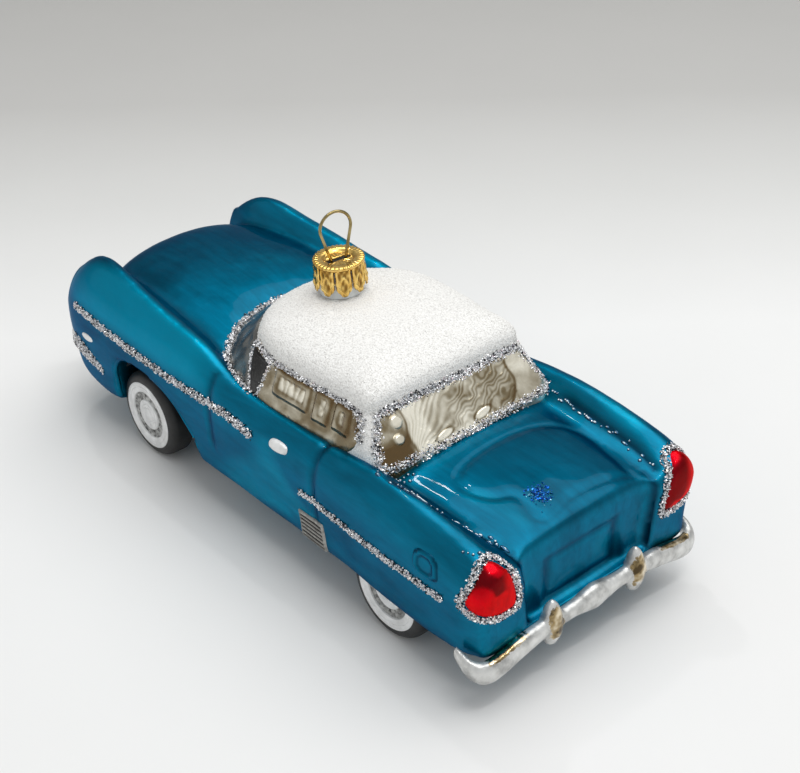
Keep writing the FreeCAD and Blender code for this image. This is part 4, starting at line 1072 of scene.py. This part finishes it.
# Corners (x, z) of what lies on the sides
VENT = [(-27.8, 10.6), (-19.9, 10.7), (-19.7, 16.8), (-27.4, 17.2)]
HANDLE = [(-17.4, 27.1), (-12.0, 26.9), (-12.0, 29.2), (-17.4, 29.4)]
FLAP = [(-60.1, 23.4), (-53.3, 23.6), (-53.3, 28.4), (-59.3, 28.6)]
for side_name, side in SIDES.items():
    fan_patch(f"lamp_{side_name}", *lamp_outline(side, LAMP_SHARE), 14, lamp_relief, RED, "red_lacquer",
              [f"tail_lamp_{side_name}"])
    side_patch(f"vent_{side_name}", VENT, side, None, 56, 30, vent_relief, VENT_PAINT,
               [f"side_vent_{side_name}"])
    side_patch(f"handle_{side_name}", HANDLE, side, 2.6, 16, 26, handle_relief, WHITEWALL,
               [f"door_handle_{side_name}"])
side_patch("flap", FLAP, 1, 4.0, 34, 34, flap_relief, BLUE, ["fuel_flap"])


# Rolled lips of the front wheel arches

LIP_RADIUS, LIP_ROWS, LIP_SIDES = 0.55, 61, 10


def tube(name, line, radius, sides, material):
    """Round tube along a line of points."""
    points = []
    for before, point, after in zip(line[:1] + line, line, line[1:] + line[-1:]):
        along = (after - before).normalized()
        across = along.cross(Vector((0, 0, 1)) if abs(along.z) < 0.9 else Vector((1, 0, 0))).normalized()
        upwards = across.cross(along)
        for corner in range(sides):
            turn = 2 * math.pi * corner / sides
            points.append(point + (across * math.cos(turn) + upwards * math.sin(turn)) * radius)
    return make_piece(name, points, closed_faces(len(line), sides), material)


for side_name, side in SIDES.items():
    lip = []
    for number in range(LIP_ROWS):
        place, normal = on_side(*arch_point(math.radians(2 + 176 * number / (LIP_ROWS - 1)), 0.3), side)
        lip.append(place - normal * 0.3)
    for _ in range(6):
        lip[1:-1] = [(before + 2 * here + after) / 4 for before, here, after in zip(lip, lip[1:], lip[2:])]
    arch_lip = tube(f"arch_lip_{side_name}", lip, LIP_RADIUS, LIP_SIDES, BLUE)
    store_tone(arch_lip, "crease", [0.0] * len(arch_lip.data.vertices))


# Wheels

AXLES = {"front": 35.6, "rear": -42.8}
WHEEL_Z, WHEEL_IN = 9.7, 20.0
TYRE_RADIUS, WHITE_RADIUS, RIM_RADIUS, HUB_RADIUS = 9.7, 7.6, 5.3, 3.5
# Profiles of the tyre and of the three rings of a disc, as (radius, distance out from the inner face)
TYRE_PROFILE = [(WHITE_RADIUS, 0.0), (8.9, 0.0), (9.45, 0.35), (9.7, 1.0), (9.7, 3.7), (9.5, 4.4),
                (9.1, 5.0), (8.5, 5.35), (WHITE_RADIUS + 0.25, 5.48), (WHITE_RADIUS, 5.42)]
WHITE_PROFILE = [(WHITE_RADIUS + 0.02, 5.3), (WHITE_RADIUS, 5.5), (7.2, 5.56), (6.7, 5.53), (6.6, 5.42),
                 (6.5, 5.52), (5.8, 5.5), (5.4, 5.38), (RIM_RADIUS, 5.1)]
GREY_PROFILE = [(RIM_RADIUS + 0.05, 5.12), (5.0, 4.9), (4.5, 4.84), (4.0, 4.86), (3.7, 4.92),
                (HUB_RADIUS, 5.0)]
HUB_PROFILE = [(HUB_RADIUS + 0.05, 4.9), (3.4, 5.26), (3.0, 5.34), (2.6, 5.3), (2.4, 5.12), (2.2, 5.28),
               (1.8, 5.36), (1.6, 5.16), (1.4, 5.36), (0.8, 5.5), (0.0, 5.53)]
WHEEL_SIDES = 96


def turned_piece(name, profile, centre, side, material, replaced=(), ripple=None):
    """Piece turned about the car's width from a profile, with an optional ripple of its face."""
    profile = smooth_loop(profile, 4, closed=False)
    profile[:, 0] = np.minimum(profile[:, 0], TYRE_RADIUS)
    points = []
    for radius, out in profile:
        for corner in range(WHEEL_SIDES):
            turn = 2 * math.pi * corner / WHEEL_SIDES
            lift = ripple(radius, turn) if ripple else 0.0
            points.append((centre + radius * math.cos(turn), side * (WHEEL_IN + out + lift),
                           WHEEL_Z + radius * math.sin(turn)))
    faces = grid_faces(len(profile), WHEEL_SIDES, wrap=True, flip=side > 0)
    return make_piece(name, points, faces, material, replaced)


def wheel_pattern(radius, turn):
    """Cast spokes and pits of the dark ring."""
    rough = noise.noise(Vector((radius * math.cos(turn), radius * math.sin(turn), 0)) * 2.2)
    return (0.1 * math.sin(24 * turn) + 0.22 * rough) * box_bump(radius, 3.8, 5.0, 0.2)


for end_name, axle in AXLES.items():
    for side_name, side in SIDES.items():
        where = f"{end_name}_{side_name}"
        turned_piece(f"rubber_{where}", TYRE_PROFILE, axle, side, TYRE, [f"tyre_{where}"])
        turned_piece(f"white_ring_{where}", WHITE_PROFILE, axle, side, WHITEWALL,
                     [f"wheel_disc_{where}"])
        turned_piece(f"grey_ring_{where}", GREY_PROFILE, axle, side, WHEEL_GREY,
                     ripple=wheel_pattern)
        turned_piece(f"hub_{where}", HUB_PROFILE, axle, side, WHITEWALL)


# Bumpers

REAR_X, REAR_Z = -69.7, 11.5
FRONT_X, FRONT_Z = 68.5, 15.6
GUARD_Y = 10.7
# Guide lines of each bar, from its end on the side (share 0) to its middle (share 1)
REAR_BAR = {
    "x": guide(TAIL, (0.0, 4.8), (0.2, 1.2), (0.36, -0.4)) + guide(REAR_X, (0.55, 0.0), (1.0, 0.0)),
    "y": guide(HALF_WIDTH, (0.0, 0.1), (0.2, -0.4), (0.36, -3.0)) + [(0.55, 18.0), (1.0, 0.0)],
    "z": guide(REAR_Z, (0.0, 0.5), (0.2, -1.6), (0.36, -2.4), (0.55, -0.8), (0.7, 0.0), (1.0, 0.0)),
    "half_height": [(0.0, 1.2), (0.2, 2.1), (0.36, 2.4), (0.55, 2.2), (0.84, 1.6), (1.0, 2.8)],
    "half_depth": [(0.0, 0.6), (0.2, 1.2), (0.36, 1.6), (0.55, 1.6), (0.84, 1.4), (1.0, 1.8)],
}
FRONT_BAR = {
    "x": guide(NOSE, (0.0, -17.0), (0.2, -7.5), (0.36, -1.0)) + guide(FRONT_X, (0.55, -1.6), (1.0, 0.0)),
    "y": guide(HALF_WIDTH, (0.0, -1.6), (0.2, -1.8), (0.36, -4.4)) + [(0.55, 17.0), (1.0, 0.0)],
    "z": guide(FRONT_Z, (0.0, 0.0), (0.2, 2.8), (0.36, 2.2), (0.55, 0.6), (1.0, 0.0)),
    "half_height": [(0.0, 1.6), (0.2, 2.6), (0.36, 3.0), (0.55, 2.8), (1.0, 2.6)],
    "half_depth": [(0.0, 0.8), (0.2, 1.4), (0.36, 1.7), (1.0, 1.9)],
}
BAR_HALF, BAR_SIDES = 70, 24
LAST_SHARE = 0.9999
# Sections of a guard, as (rise, share of its width, share of its depth)
GUARD_ROWS = [(-4.4, 0.45, 0.5), (-2.2, 0.9, 0.95), (0.4, 1.0, 1.0), (2.8, 0.75, 0.8), (4.4, 0.42, 0.5),
              (5.2, 0.12, 0.15)]
GUARD_HALF_WIDTH, GUARD_HALF_DEPTH = 2.4, 1.9
BUMPER_VOXEL = 0.32


def bumper(name, columns, guard_x, guard_z, replaced):
    """Bar and guards in one moulded mesh."""
    points = []
    rows = BAR_HALF * 2 + 1
    for row in range(rows):
        share = min(row, rows - 1 - row) / BAR_HALF
        side = 1 if row <= BAR_HALF else -1
        held = min(share, LAST_SHARE)
        x, y, z, half_height, half_depth = (value_at(line, held) for line in columns.values())
        ahead, behind = max(share - 0.02, 0.0), min(share + 0.02, LAST_SHARE)
        along_x, along_y = (value_at(columns[axis], behind) - value_at(columns[axis], ahead) for axis in "xy")
        along = Vector((along_x, along_y, 0)).normalized()
        for corner in range(BAR_SIDES):
            turn = 2 * math.pi * (corner + 0.5) / BAR_SIDES
            out = half_depth * math.sin(turn)
            points.append((x - along.y * out, side * (y + along.x * out), z + half_height * math.cos(turn)))
    faces = closed_faces(rows, BAR_SIDES)
    profile = smooth_loop(GUARD_ROWS, 6, closed=False)
    for side in SIDES.values():
        faces += closed_faces(len(profile), BAR_SIDES, start=len(points))
        for rise, wide, deep in profile:
            for corner in range(BAR_SIDES):
                turn = 2 * math.pi * corner / BAR_SIDES
                points.append((guard_x + GUARD_HALF_DEPTH * deep * math.cos(turn),
                               side * GUARD_Y + GUARD_HALF_WIDTH * wide * math.sin(turn), guard_z + rise))
    obj = make_piece(name, points, faces, SILVER, replaced)
    cast(obj, BUMPER_VOXEL, 8)
    obj.data.shade_smooth()
    # paint worn off the faces of the guards and the top of the bar's ends
    way = math.copysign(1.0, guard_x)
    worn = []
    for vertex in obj.data.vertices:
        x, y, z = vertex.co / MM
        face = math.exp(-((abs(y) - GUARD_Y) / 2.0) ** 4 - ((z - guard_z - 0.8) / 3.4) ** 4)
        face *= soft_step(way * (x - guard_x), 0.2, 1.0)
        top = soft_step(vertex.normal.z, 0.5, 0.8) * box_bump(abs(y), 17.0, 26.0, 1.5)
        worn.append(max(0.95 * face, 0.75 * top))
    store_tone(obj, "worn", worn)
    return obj


bumper("bumper_rear", REAR_BAR, REAR_X, REAR_Z, ["rear_bumper"])
front_bumper = bumper("bumper_front", FRONT_BAR, FRONT_X - 0.3, FRONT_Z, ["front_bumper"])


# Cap: gold sheet with a serrated rim, a dished top and embossed petals

NECK = Vector((-1.6, 0.0, 42.2))
LEAN, LEAN_WAY, SLOT_TURN = math.radians(3.0), math.radians(75.0), math.radians(80.0)
LEAN_AXIS = Vector((-math.sin(LEAN_WAY), math.cos(LEAN_WAY), 0))
CAP_PLACE = (Matrix.Translation(NECK) @ Matrix.Rotation(LEAN, 4, LEAN_AXIS)
             @ Matrix.Rotation(SLOT_TURN, 4, "Z"))
CAP_TOP, CAP_HEIGHT, CAP_RADIUS, CAP_SHEET = 11.0, 6.3, 5.0, 0.28
CAP_DISH, FLARE = 0.5, 0.2
PETALS, PETAL_COLUMNS, PETAL_ROWS = 9, 22, 34
PETAL_POINT, PETAL_SHARE = 1.7, 0.95
# Rim and dish, as (radius, height over the cap's top, depth of the teeth)
RIM_PROFILE = [(4.72, -1.1, 0.0), (4.78, -0.8, 0.0), (4.95, -0.6, 0.5), (4.98, -0.35, 0.62),
               (4.8, -0.12, 0.5), (4.4, -0.04, 0.3), (3.9, -0.05, 0.16), (3.3, -0.02, 0.03),
               (3.05, -0.25, 0.0), (2.8, -0.5, 0.0), (2.75, -0.52, 0.0)]
RIM_CORNERS, TEETH = 216, 36
DISH_RADIUS, DISH_RINGS, DISH_RAYS = 2.75, 8, 16
SLOT_HALF_LENGTH, SLOT_HALF_WIDTH = 2.6, 0.7


def petal_emboss(across, up):
    """Raised rim, leaf veins and dots of one petal. across is -1 to 1, up is 0 at the tip to 1."""
    rim = ridge(abs(across) - 0.8, 0.12)
    tip = ridge(up - 0.12 - 0.18 * abs(across), 0.06)
    veins = ridge(abs(across) - 0.55 * abs(math.sin(3.2 * up + 0.6)), 0.12)
    dots = 0.5 * math.sin(9 * across) * math.sin(14 * up)
    return 0.24 * max(rim, tip) + 0.22 * veins * (up < 0.8) + 0.12 * dots


def petal_points(petal):
    """Points of one petal, and how much painted shade darkens each, by how deep in a groove it lies."""
    points, grooves = [], []
    middle = 2 * math.pi * (petal + 0.5) / PETALS + math.pi / 2
    top = CAP_TOP - 0.75
    for row in range(PETAL_ROWS):
        up = row / (PETAL_ROWS - 1)
        for column in range(PETAL_COLUMNS):
            across = 2 * column / (PETAL_COLUMNS - 1) - 1
            low = CAP_TOP - CAP_HEIGHT + PETAL_POINT * abs(across) ** 1.4
            emboss = petal_emboss(across, up)
            radius = CAP_RADIUS + FLARE * (1 - up) - 0.16 + emboss - 0.12 * abs(across) ** 4
            turn = middle + math.pi / PETALS * PETAL_SHARE * (1 - 0.04 * (1 - up)) * across
            points.append((radius * math.cos(turn), radius * math.sin(turn), low + (top - low) * up))
            grooves.append(0.9 * (1 - soft_step(emboss, -0.04, 0.12)))
    return points, grooves


def rim_points():
    """Points of the serrated rim and the dish's edge."""
    points = []
    for radius, rise, teeth in RIM_PROFILE:
        for corner in range(RIM_CORNERS):
            turn = 2 * math.pi * corner / RIM_CORNERS
            saw = teeth * (0.5 - abs((corner * TEETH / RIM_CORNERS) % 1.0 - 0.5)) * 2 - teeth * 0.5
            reach = radius + saw * 0.35
            points.append((reach * math.cos(turn), reach * math.sin(turn), CAP_TOP + rise + saw * 0.3))
    return points


def dish_points():
    """Points of the dish's floor, in rings from its edge to the slot's outline."""
    points = []
    for ring in range(1, DISH_RINGS + 1):
        share = ring / DISH_RINGS
        for corner in range(RIM_CORNERS):
            turn = 2 * math.pi * corner / RIM_CORNERS
            way = Vector((math.cos(turn), math.sin(turn)))
            slot = way / max(abs(way.x) / SLOT_HALF_LENGTH, abs(way.y) / SLOT_HALF_WIDTH)
            spot = (way * DISH_RADIUS).lerp(slot, share)
            emboss = 0.05 * math.sin(DISH_RAYS * turn) * math.sin(math.pi * share)
            points.append((spot.x, spot.y, CAP_TOP - CAP_DISH + emboss))
    return points


def build_cap():
    points, faces, grooves = [], [], []
    for petal in range(PETALS):
        faces += grid_faces(PETAL_ROWS, PETAL_COLUMNS, start=len(points))
        made, deep = petal_points(petal)
        points += made
        grooves += deep
    rows = len(RIM_PROFILE) + DISH_RINGS
    faces += grid_faces(rows, RIM_CORNERS, wrap=True, start=len(points))
    points += rim_points() + dish_points()
    placed = [CAP_PLACE @ Vector(point) for point in points]
    obj = make_piece("cap_sheet", placed, faces, GOLD, ["cap"], body="cap")
    store_tone(obj, "crease", grooves + [0.0] * (len(points) - len(grooves)))
    thick = obj.modifiers.new("sheet", "SOLIDIFY")
    thick.thickness = CAP_SHEET * MM
    thick.offset = -1.0


build_cap()


# Glitter: grains set in bands along lines on the glass

OCTAHEDRON = [(1, 0, 0), (-1, 0, 0), (0, 1, 0), (0, -1, 0), (0, 0, 1), (0, 0, -1)]
OCTAHEDRON_FACES = [(0, 2, 4), (2, 1, 4), (1, 3, 4), (3, 0, 4), (2, 0, 5), (1, 2, 5), (3, 1, 5), (0, 3, 5)]
# Tones of the grains, each with its weight; their spread from dark to bright is partly painted reflection
SILVER_TONES = {(0.97, 0.97, 0.98): 9, (0.82, 0.83, 0.85): 5, (0.6, 0.6, 0.62): 2.5, (0.3, 0.3, 0.31): 2,
                (0.03, 0.03, 0.035): 3.2, (0.95, 0.9, 0.82): 1.2, (0.8, 0.68, 0.72): 0.8}
BLUE_TONES = {(0.0, 0.12, 0.55): 4, (0.0, 0.03, 0.2): 4, (0.03, 0.3, 0.85): 3, (0.3, 0.75, 1.0): 1}
GRAIN_SIZE = (0.17, 0.34)


def resampled(line, step):
    """Points along a line at an even step."""
    line = [Vector(point) for point in line]
    made = [line[0]]
    left = step
    for first, last in zip(line, line[1:]):
        length = (last - first).length
        while length >= left and length > 0:
            first = first + (last - first) * (left / length)
            length = (last - first).length
            made.append(first)
            left = step
        left -= length
    return made


def scatter(name, spots, sizes, material, replaced=(), tones=SILVER_TONES):
    """Small squashed octahedra at (place, outward) spots, each with its own tone."""
    points, faces, colours = [], [], []
    for place, _ in spots:
        size = dice.uniform(*sizes)
        turn = dice.uniform(0, 6.283)
        axis = Vector((dice.gauss(0, 1), dice.gauss(0, 1), dice.gauss(0, 1))).normalized()
        tilt = Matrix.Rotation(turn, 3, axis)
        shape = (size, size * dice.uniform(0.6, 1.0), size * dice.uniform(0.3, 0.7))
        faces += [tuple(len(points) + index for index in face) for face in OCTAHEDRON_FACES]
        for corner in OCTAHEDRON:
            points.append(place + tilt @ Vector(a * b for a, b in zip(corner, shape)))
        tone = dice.choices(list(tones), list(tones.values()))[0]
        glint = dice.uniform(0.75, 1.1)
        colour = tuple(min(value * glint, 1.0) for value in tone) + (1.0,)
        colours += [colour] * (3 * len(OCTAHEDRON_FACES))
    obj = make_piece(name, points, faces, material, replaced, smooth=False)
    layer = obj.data.attributes.new("grain", "FLOAT_COLOR", "CORNER")
    layer.data.foreach_set("color", np.array(colours, dtype=np.float32).ravel())


BAND_STEP, BAND_RISE = 0.25, 0.34


def band_spots(line, width, density=21.0, tree=GLASS_TREE):
    """Spots of a glitter band: a line on the glass widened across the surface."""
    spots = []
    path = resampled(line, BAND_STEP)
    for first, last in zip(path, path[1:]):
        along = (last - first).normalized()
        normal = tree.find_nearest(first)[1]
        across = normal.cross(along).normalized()
        expected = BAND_STEP * width * density
        count = int(expected) + (dice.random() < expected % 1)
        for _ in range(count):
            offset = max(-1.15, min(1.15, dice.gauss(0, 0.55))) * width / 2
            guess = first.lerp(last, dice.random()) + across * offset
            place, outward, _, _ = tree.find_nearest(guess)
            if outward.dot(normal) < 0:
                outward.negate()
            height = BAND_RISE * dice.uniform(0.2, 1.0) * (1.25 - abs(offset) / width)
            spots.append((place + outward * height, outward))
    return spots


def side_line(points, side):
    """Line on the car's side from points (x, z)."""
    line = []
    for (x1, z1), (x2, z2) in zip(points, points[1:]):
        for number in range(20):
            share = number / 20
            line.append(on_side(x1 + (x2 - x1) * share, z1 + (z2 - z1) * share, side)[0])
    return line + [on_side(*points[-1], side)[0]]


def cabin_line(steps):
    """Points of the cabin at steps of (level, position round it)."""
    return [cabin_at(level, column)[0] for level, column in steps]


def edge_steps(edge, levels):
    return [(level, edge(level)) for level in levels]


def between(start, end, shares):
    return [start + (end - start) * share for share in shares]


FRONT_LINE = [(57.6, 28.6), (46.3, 28.2), (34.6, 27.6), (22.8, 27.4), (12.2, 27.5), (1.8, 27.6),
              (-3.0, 27.2), (-7.0, 26.7)]
REAR_LINE = [(-21.0, 21.7), (-40.0, 21.3), (-60.7, 21.1)]
SIDE_BANDS = {"front": (FRONT_LINE, 1.7), "rear": (REAR_LINE, 1.5)}
for side_name, side in SIDES.items():
    for end_name, (line, width) in SIDE_BANDS.items():
        scatter(f"glitter_{end_name}_{side_name}", band_spots(side_line(line, side), width), GRAIN_SIZE,
                GLITTER, [f"{end_name}_line_{side_name}"])

GLITTER_WIDTH, PILLAR_WIDTH, TOP_WIDTH, PATCH_WIDTH = 1.9, 1.5, 1.8, 4.8
PILLAR_LEVELS = [0.05 * step for step in range(20)]
ROUND_SHARES = [number / 40 for number in range(41)]
CORNER_SHARES = [0.01 * number for number in range(-2, 15)]


def windshield_foot():
    """Line round the windshield's foot, where the cabin meets the hood."""
    foot = []
    for column in between(windshield_start(0.0), windshield_end(0.0), [number / 80 for number in range(81)]):
        level = 0.0
        while level < 1.0:
            place, outward = cabin_at(level, column)
            hit = BODY_TREE.ray_cast(place + Vector((0, 0, 30)), Vector((0, 0, -1)))[0]
            if hit is None or hit.z < place.z:
                break
            level += 0.02
        foot.append(cabin_at(level, column)[0] + outward * 0.3)
    return foot


def rear_window_bands():
    """Spots round the rear window: its lower corners, its edge and the roof's edge above it."""
    left, right = rear_start(0.97), rear_end(0.97)
    crown_edge = [(1.0, column) for column in between(left, right, ROUND_SHARES)]
    edge = edge_steps(rear_start, (0.05, 0.2, 0.4, 0.6, 0.8, 0.95))
    edge += [(0.99, column) for column in between(left, right, ROUND_SHARES)]
    edge += edge_steps(rear_end, (0.95, 0.8, 0.6, 0.4, 0.2, 0.05))
    left, right = rear_start(0.0), rear_end(0.0)
    edge += [(0.03, column) for column in between(right, left, ROUND_SHARES)]
    spots = []
    for start, end in ((left, right), (right, left)):
        corner = [(-0.2, column) for column in between(start, end, CORNER_SHARES)]
        spots += band_spots(cabin_line(corner), GLITTER_WIDTH)
    spots += band_spots(cabin_line(edge), GLITTER_WIDTH)
    return spots + band_spots(cabin_line(crown_edge), GLITTER_WIDTH, 16.0)


def glitter_bands():
    """Spots of all the bands that have no line of their own in the solid model."""
    spots = band_spots(windshield_foot(), GLITTER_WIDTH)
    for side in SIDES.values():
        for edge_x in (WINDSHIELD_X, QUARTER_X):
            pillar = edge_steps(edge_between(*edge_x, side), PILLAR_LEVELS)
            spots += band_spots(cabin_line(pillar), PILLAR_WIDTH)
        top = [(0.97, column_where(0.97, -step, side)) for step in range(-3, 28)]
        top += edge_steps(rounded_rear(side), (0.9, 0.8, 0.6, 0.4))
        spots += band_spots(cabin_line(top), TOP_WIDTH)
    spots += rear_window_bands()
    bumper_tree = tree_of(front_bumper)
    for side in SIDES.values():
        outline, direction = lamp_outline(side, LAMP_EDGE_SHARE)
        ring = [on_body(point, direction)[0] for point in smooth_loop(outline, 4)]
        spots += band_spots(ring + ring[:1], PILLAR_WIDTH)
        end = [(NOSE - 16.8 + 0.5 * step, side * 29.0, FRONT_Z + 0.4 + 0.17 * step) for step in range(26)]
        end = [bumper_tree.find_nearest(Vector(point))[0] for point in end]
        spots += band_spots(end, PATCH_WIDTH, tree=bumper_tree)
    return spots


scatter("glitter_bands", glitter_bands(), GRAIN_SIZE, GLITTER)

# sparkle on the trunk
SPARKLE_COUNT, SPARKLE_SIZE = 240, (0.12, 0.3)
sparkle = []
for _ in range(SPARKLE_COUNT):
    place, outward = on_top(SPARKLE[0] + dice.gauss(0, 1.0), SPARKLE[1] + dice.gauss(0, 1.0))
    sparkle.append((place + outward * 0.05, outward))
scatter("sparkle", sparkle, SPARKLE_SIZE, GLITTER, tones=BLUE_TONES)


# Drops and pools of lacquer that ran down in the valleys beside the trunk

def beads(name, spots, low, high, material):
    """Flattened drops at (place, outward, along, stretch) spots."""
    ball = bmesh.new()
    bmesh.ops.create_icosphere(ball, subdivisions=2, radius=1.0)
    corners = [vertex.co.copy() for vertex in ball.verts]
    rims = [[vertex.index for vertex in face.verts] for face in ball.faces]
    ball.free()
    points, faces = [], []
    for place, outward, along, stretch in spots:
        size = dice.uniform(low, high)
        across = outward.cross(along).normalized()
        faces += [[len(points) + index for index in rim] for rim in rims]
        for a, b, height in corners:
            points.append(place + along * (a * size * stretch) + across * (b * size)
                          + outward * (height * size * 0.5))
    obj = make_piece(name, points, faces, material)
    store_tone(obj, "crease", [0.35] * len(points))


SINGLE_DROPS = [(-63.4, 24.6), (-64.2, 24.2), (-62.6, 25.0), (-64.6, 23.2), (-38.1, 19.3), (-39.0, 19.2),
                (-39.3, 18.5), (-39.1, 17.4), (-39.1, 16.4), (-39.9, 19.5), (-40.2, 18.3), (-40.5, 17.2),
                (-39.8, 15.7), (-37.6, 18.5), (-38.1, 17.5)]
DROP_STEP, DROP_CHANCE = 0.55, 0.62
DROP_STRETCHES = (1.0, 1.0, 1.6, 2.6)


def drop_spots():
    drops = []
    for line in POOL_LINES:
        path = resampled([on_top(x, y)[0] for x, y in smooth_loop(line, 8, closed=False)], DROP_STEP)
        for first, last in zip(path, path[1:]):
            if dice.random() < DROP_CHANCE:
                along = (last - first).normalized()
                across = along.cross(Vector((0, 0, 1)))
                place, outward, _, _ = BODY_TREE.find_nearest(first + across * dice.gauss(0, 0.45))
                drops.append((place, outward, along, dice.choice(DROP_STRETCHES)))
    return drops + [(*on_top(*spot), Vector((1, 0, 0)), 1.0) for spot in SINGLE_DROPS]


drops = drop_spots()
beads("drops", drops, 0.2, 0.42, DROP_BLUE)
# pale beads on top of the drops: painted highlights
glints = [(place + outward * 0.2, outward, along, stretch) for place, outward, along, stretch in drops]
beads("drop_glints", glints, 0.08, 0.2, GLINT)

# white mark on each front fender's side, above the bumper's end
MARK_X, MARK_Z, MARK_HALF, MARK_RISE, MARK_SLOPE, MARK_CORNERS = 53.2, 22.4, 2.6, 1.0, 0.2, 16
for side_name, side in SIDES.items():
    outline = []
    for corner in range(MARK_CORNERS):
        turn = 2 * math.pi * corner / MARK_CORNERS
        across, up = math.cos(turn), math.sin(turn)
        height = MARK_Z + MARK_RISE * up - MARK_SLOPE * across
        outline.append((MARK_X + MARK_HALF * across, side * ASIDE, height))
    fan_patch(f"fender_mark_{side_name}", outline, (0, -side, 0), 6, lambda share, place: (0.2, 0.0),
              WHITEWALL, "white_paint", [], 2)

# fine grains on the roof
ROOF_GRAINS, ROOF_GRAIN_SIZE = 7000, (0.08, 0.17)
roof_spots = []
for _ in range(ROOF_GRAINS):
    level = 2.0 * dice.random() ** 0.7
    place, outward = cabin_at(min(level, 1.98), dice.uniform(0, ROUND))
    roof_spots.append((CABIN_TREE.find_nearest(place)[0] + outward * 0.02, outward))
scatter("roof_grains", roof_spots, ROOF_GRAIN_SIZE, GRAIN)


# Nodes of the solid model that show as they are

for name, material in (("neck", CLEAR), ("hanger", BRASS), ("wheel_pan_left", PAN), ("wheel_pan_right", PAN),
                       ("headlamp_left", SILVER), ("headlamp_right", SILVER), ("grille", SILVER)):
    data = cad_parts[name].data
    data.materials.clear()
    data.materials.append(material)


# Floor, backdrop and light

AWAY = Vector((0.762, -0.645, 0.0))  # from the camera to the car, level
SHEET, SHEET_RISE = 1.6, 1.4  # the sheet's half width and its height
BEND_START, BEND_RADIUS, BEND_STEPS = 0.5, 0.35, 12
# painted shade on the paper: darker with distance behind the car
PAPER_SHADE_TONES = [(0.0, (0.78, 0.78, 0.77)), (0.25, (0.62, 0.62, 0.605)), (0.5, (0.48, 0.475, 0.46)),
               (1.0, (0.41, 0.405, 0.39))]


def paper():
    """Pale paper with painted shade that turns it grey behind the car."""
    material, tree = new_material("paper")
    place = node(tree, "ShaderNodeTexCoord").outputs["Object"]
    along = node(tree, "ShaderNodeVectorMath", {0: place, 1: AWAY}, operation="DOT_PRODUCT")
    tone = ramp_of(tree, range_of(tree, along.outputs["Value"], 0.0, 1.0, 0.06, 0.36), PAPER_SHADE_TONES)
    tone = mixed(tree, 1.0, tone, range_of(tree, noise_of(tree, 40.0, 4.0), 0.98, 1.02), "MULTIPLY")
    dress(tree, Base_Color=tone, Roughness=0.85, Specular_IOR_Level=0.2)
    return material


def backdrop():
    """Floor that rises into a backdrop, in one bent sheet."""
    profile = [(-SHEET, 0.0), (BEND_START, 0.0)]
    for number in range(1, BEND_STEPS + 1):
        turn = math.radians(90) * number / BEND_STEPS
        profile.append((BEND_START + BEND_RADIUS * math.sin(turn), BEND_RADIUS * (1 - math.cos(turn))))
    profile.append((BEND_START + BEND_RADIUS, SHEET_RISE))
    across = Vector((-AWAY.y, AWAY.x, 0.0))
    points = []
    for distance, height in profile:
        for side in (-SHEET, SHEET):
            points.append((AWAY * distance + across * side + Vector((0, 0, height))) / MM)
    obj = new_object("backdrop", points, grid_faces(len(profile), 2))
    obj.data.shade_smooth()
    obj.data.materials.append(paper())


def make_world():
    world = bpy.data.worlds.new("studio")
    bpy.context.scene.world = world
    world.use_nodes = True
    background = world.node_tree.nodes["Background"]
    background.inputs["Color"].default_value = (0.97, 0.985, 1.0, 1.0)
    background.inputs["Strength"].default_value = 0.6


backdrop()
make_world()
area_light("softbox", (-0.05, -0.26, 0.9), (0, 0, 0.02), 1.1, 1.1, 6.4)
area_light("strip", (-0.25, 0.05, 0.62), (0, 0, 0.03), 0.26, 0.012, 0.55)
area_light("spark", (0.30, -0.10, 0.55), (0, 0, 0.03), 0.03, 0.03, 0.25)
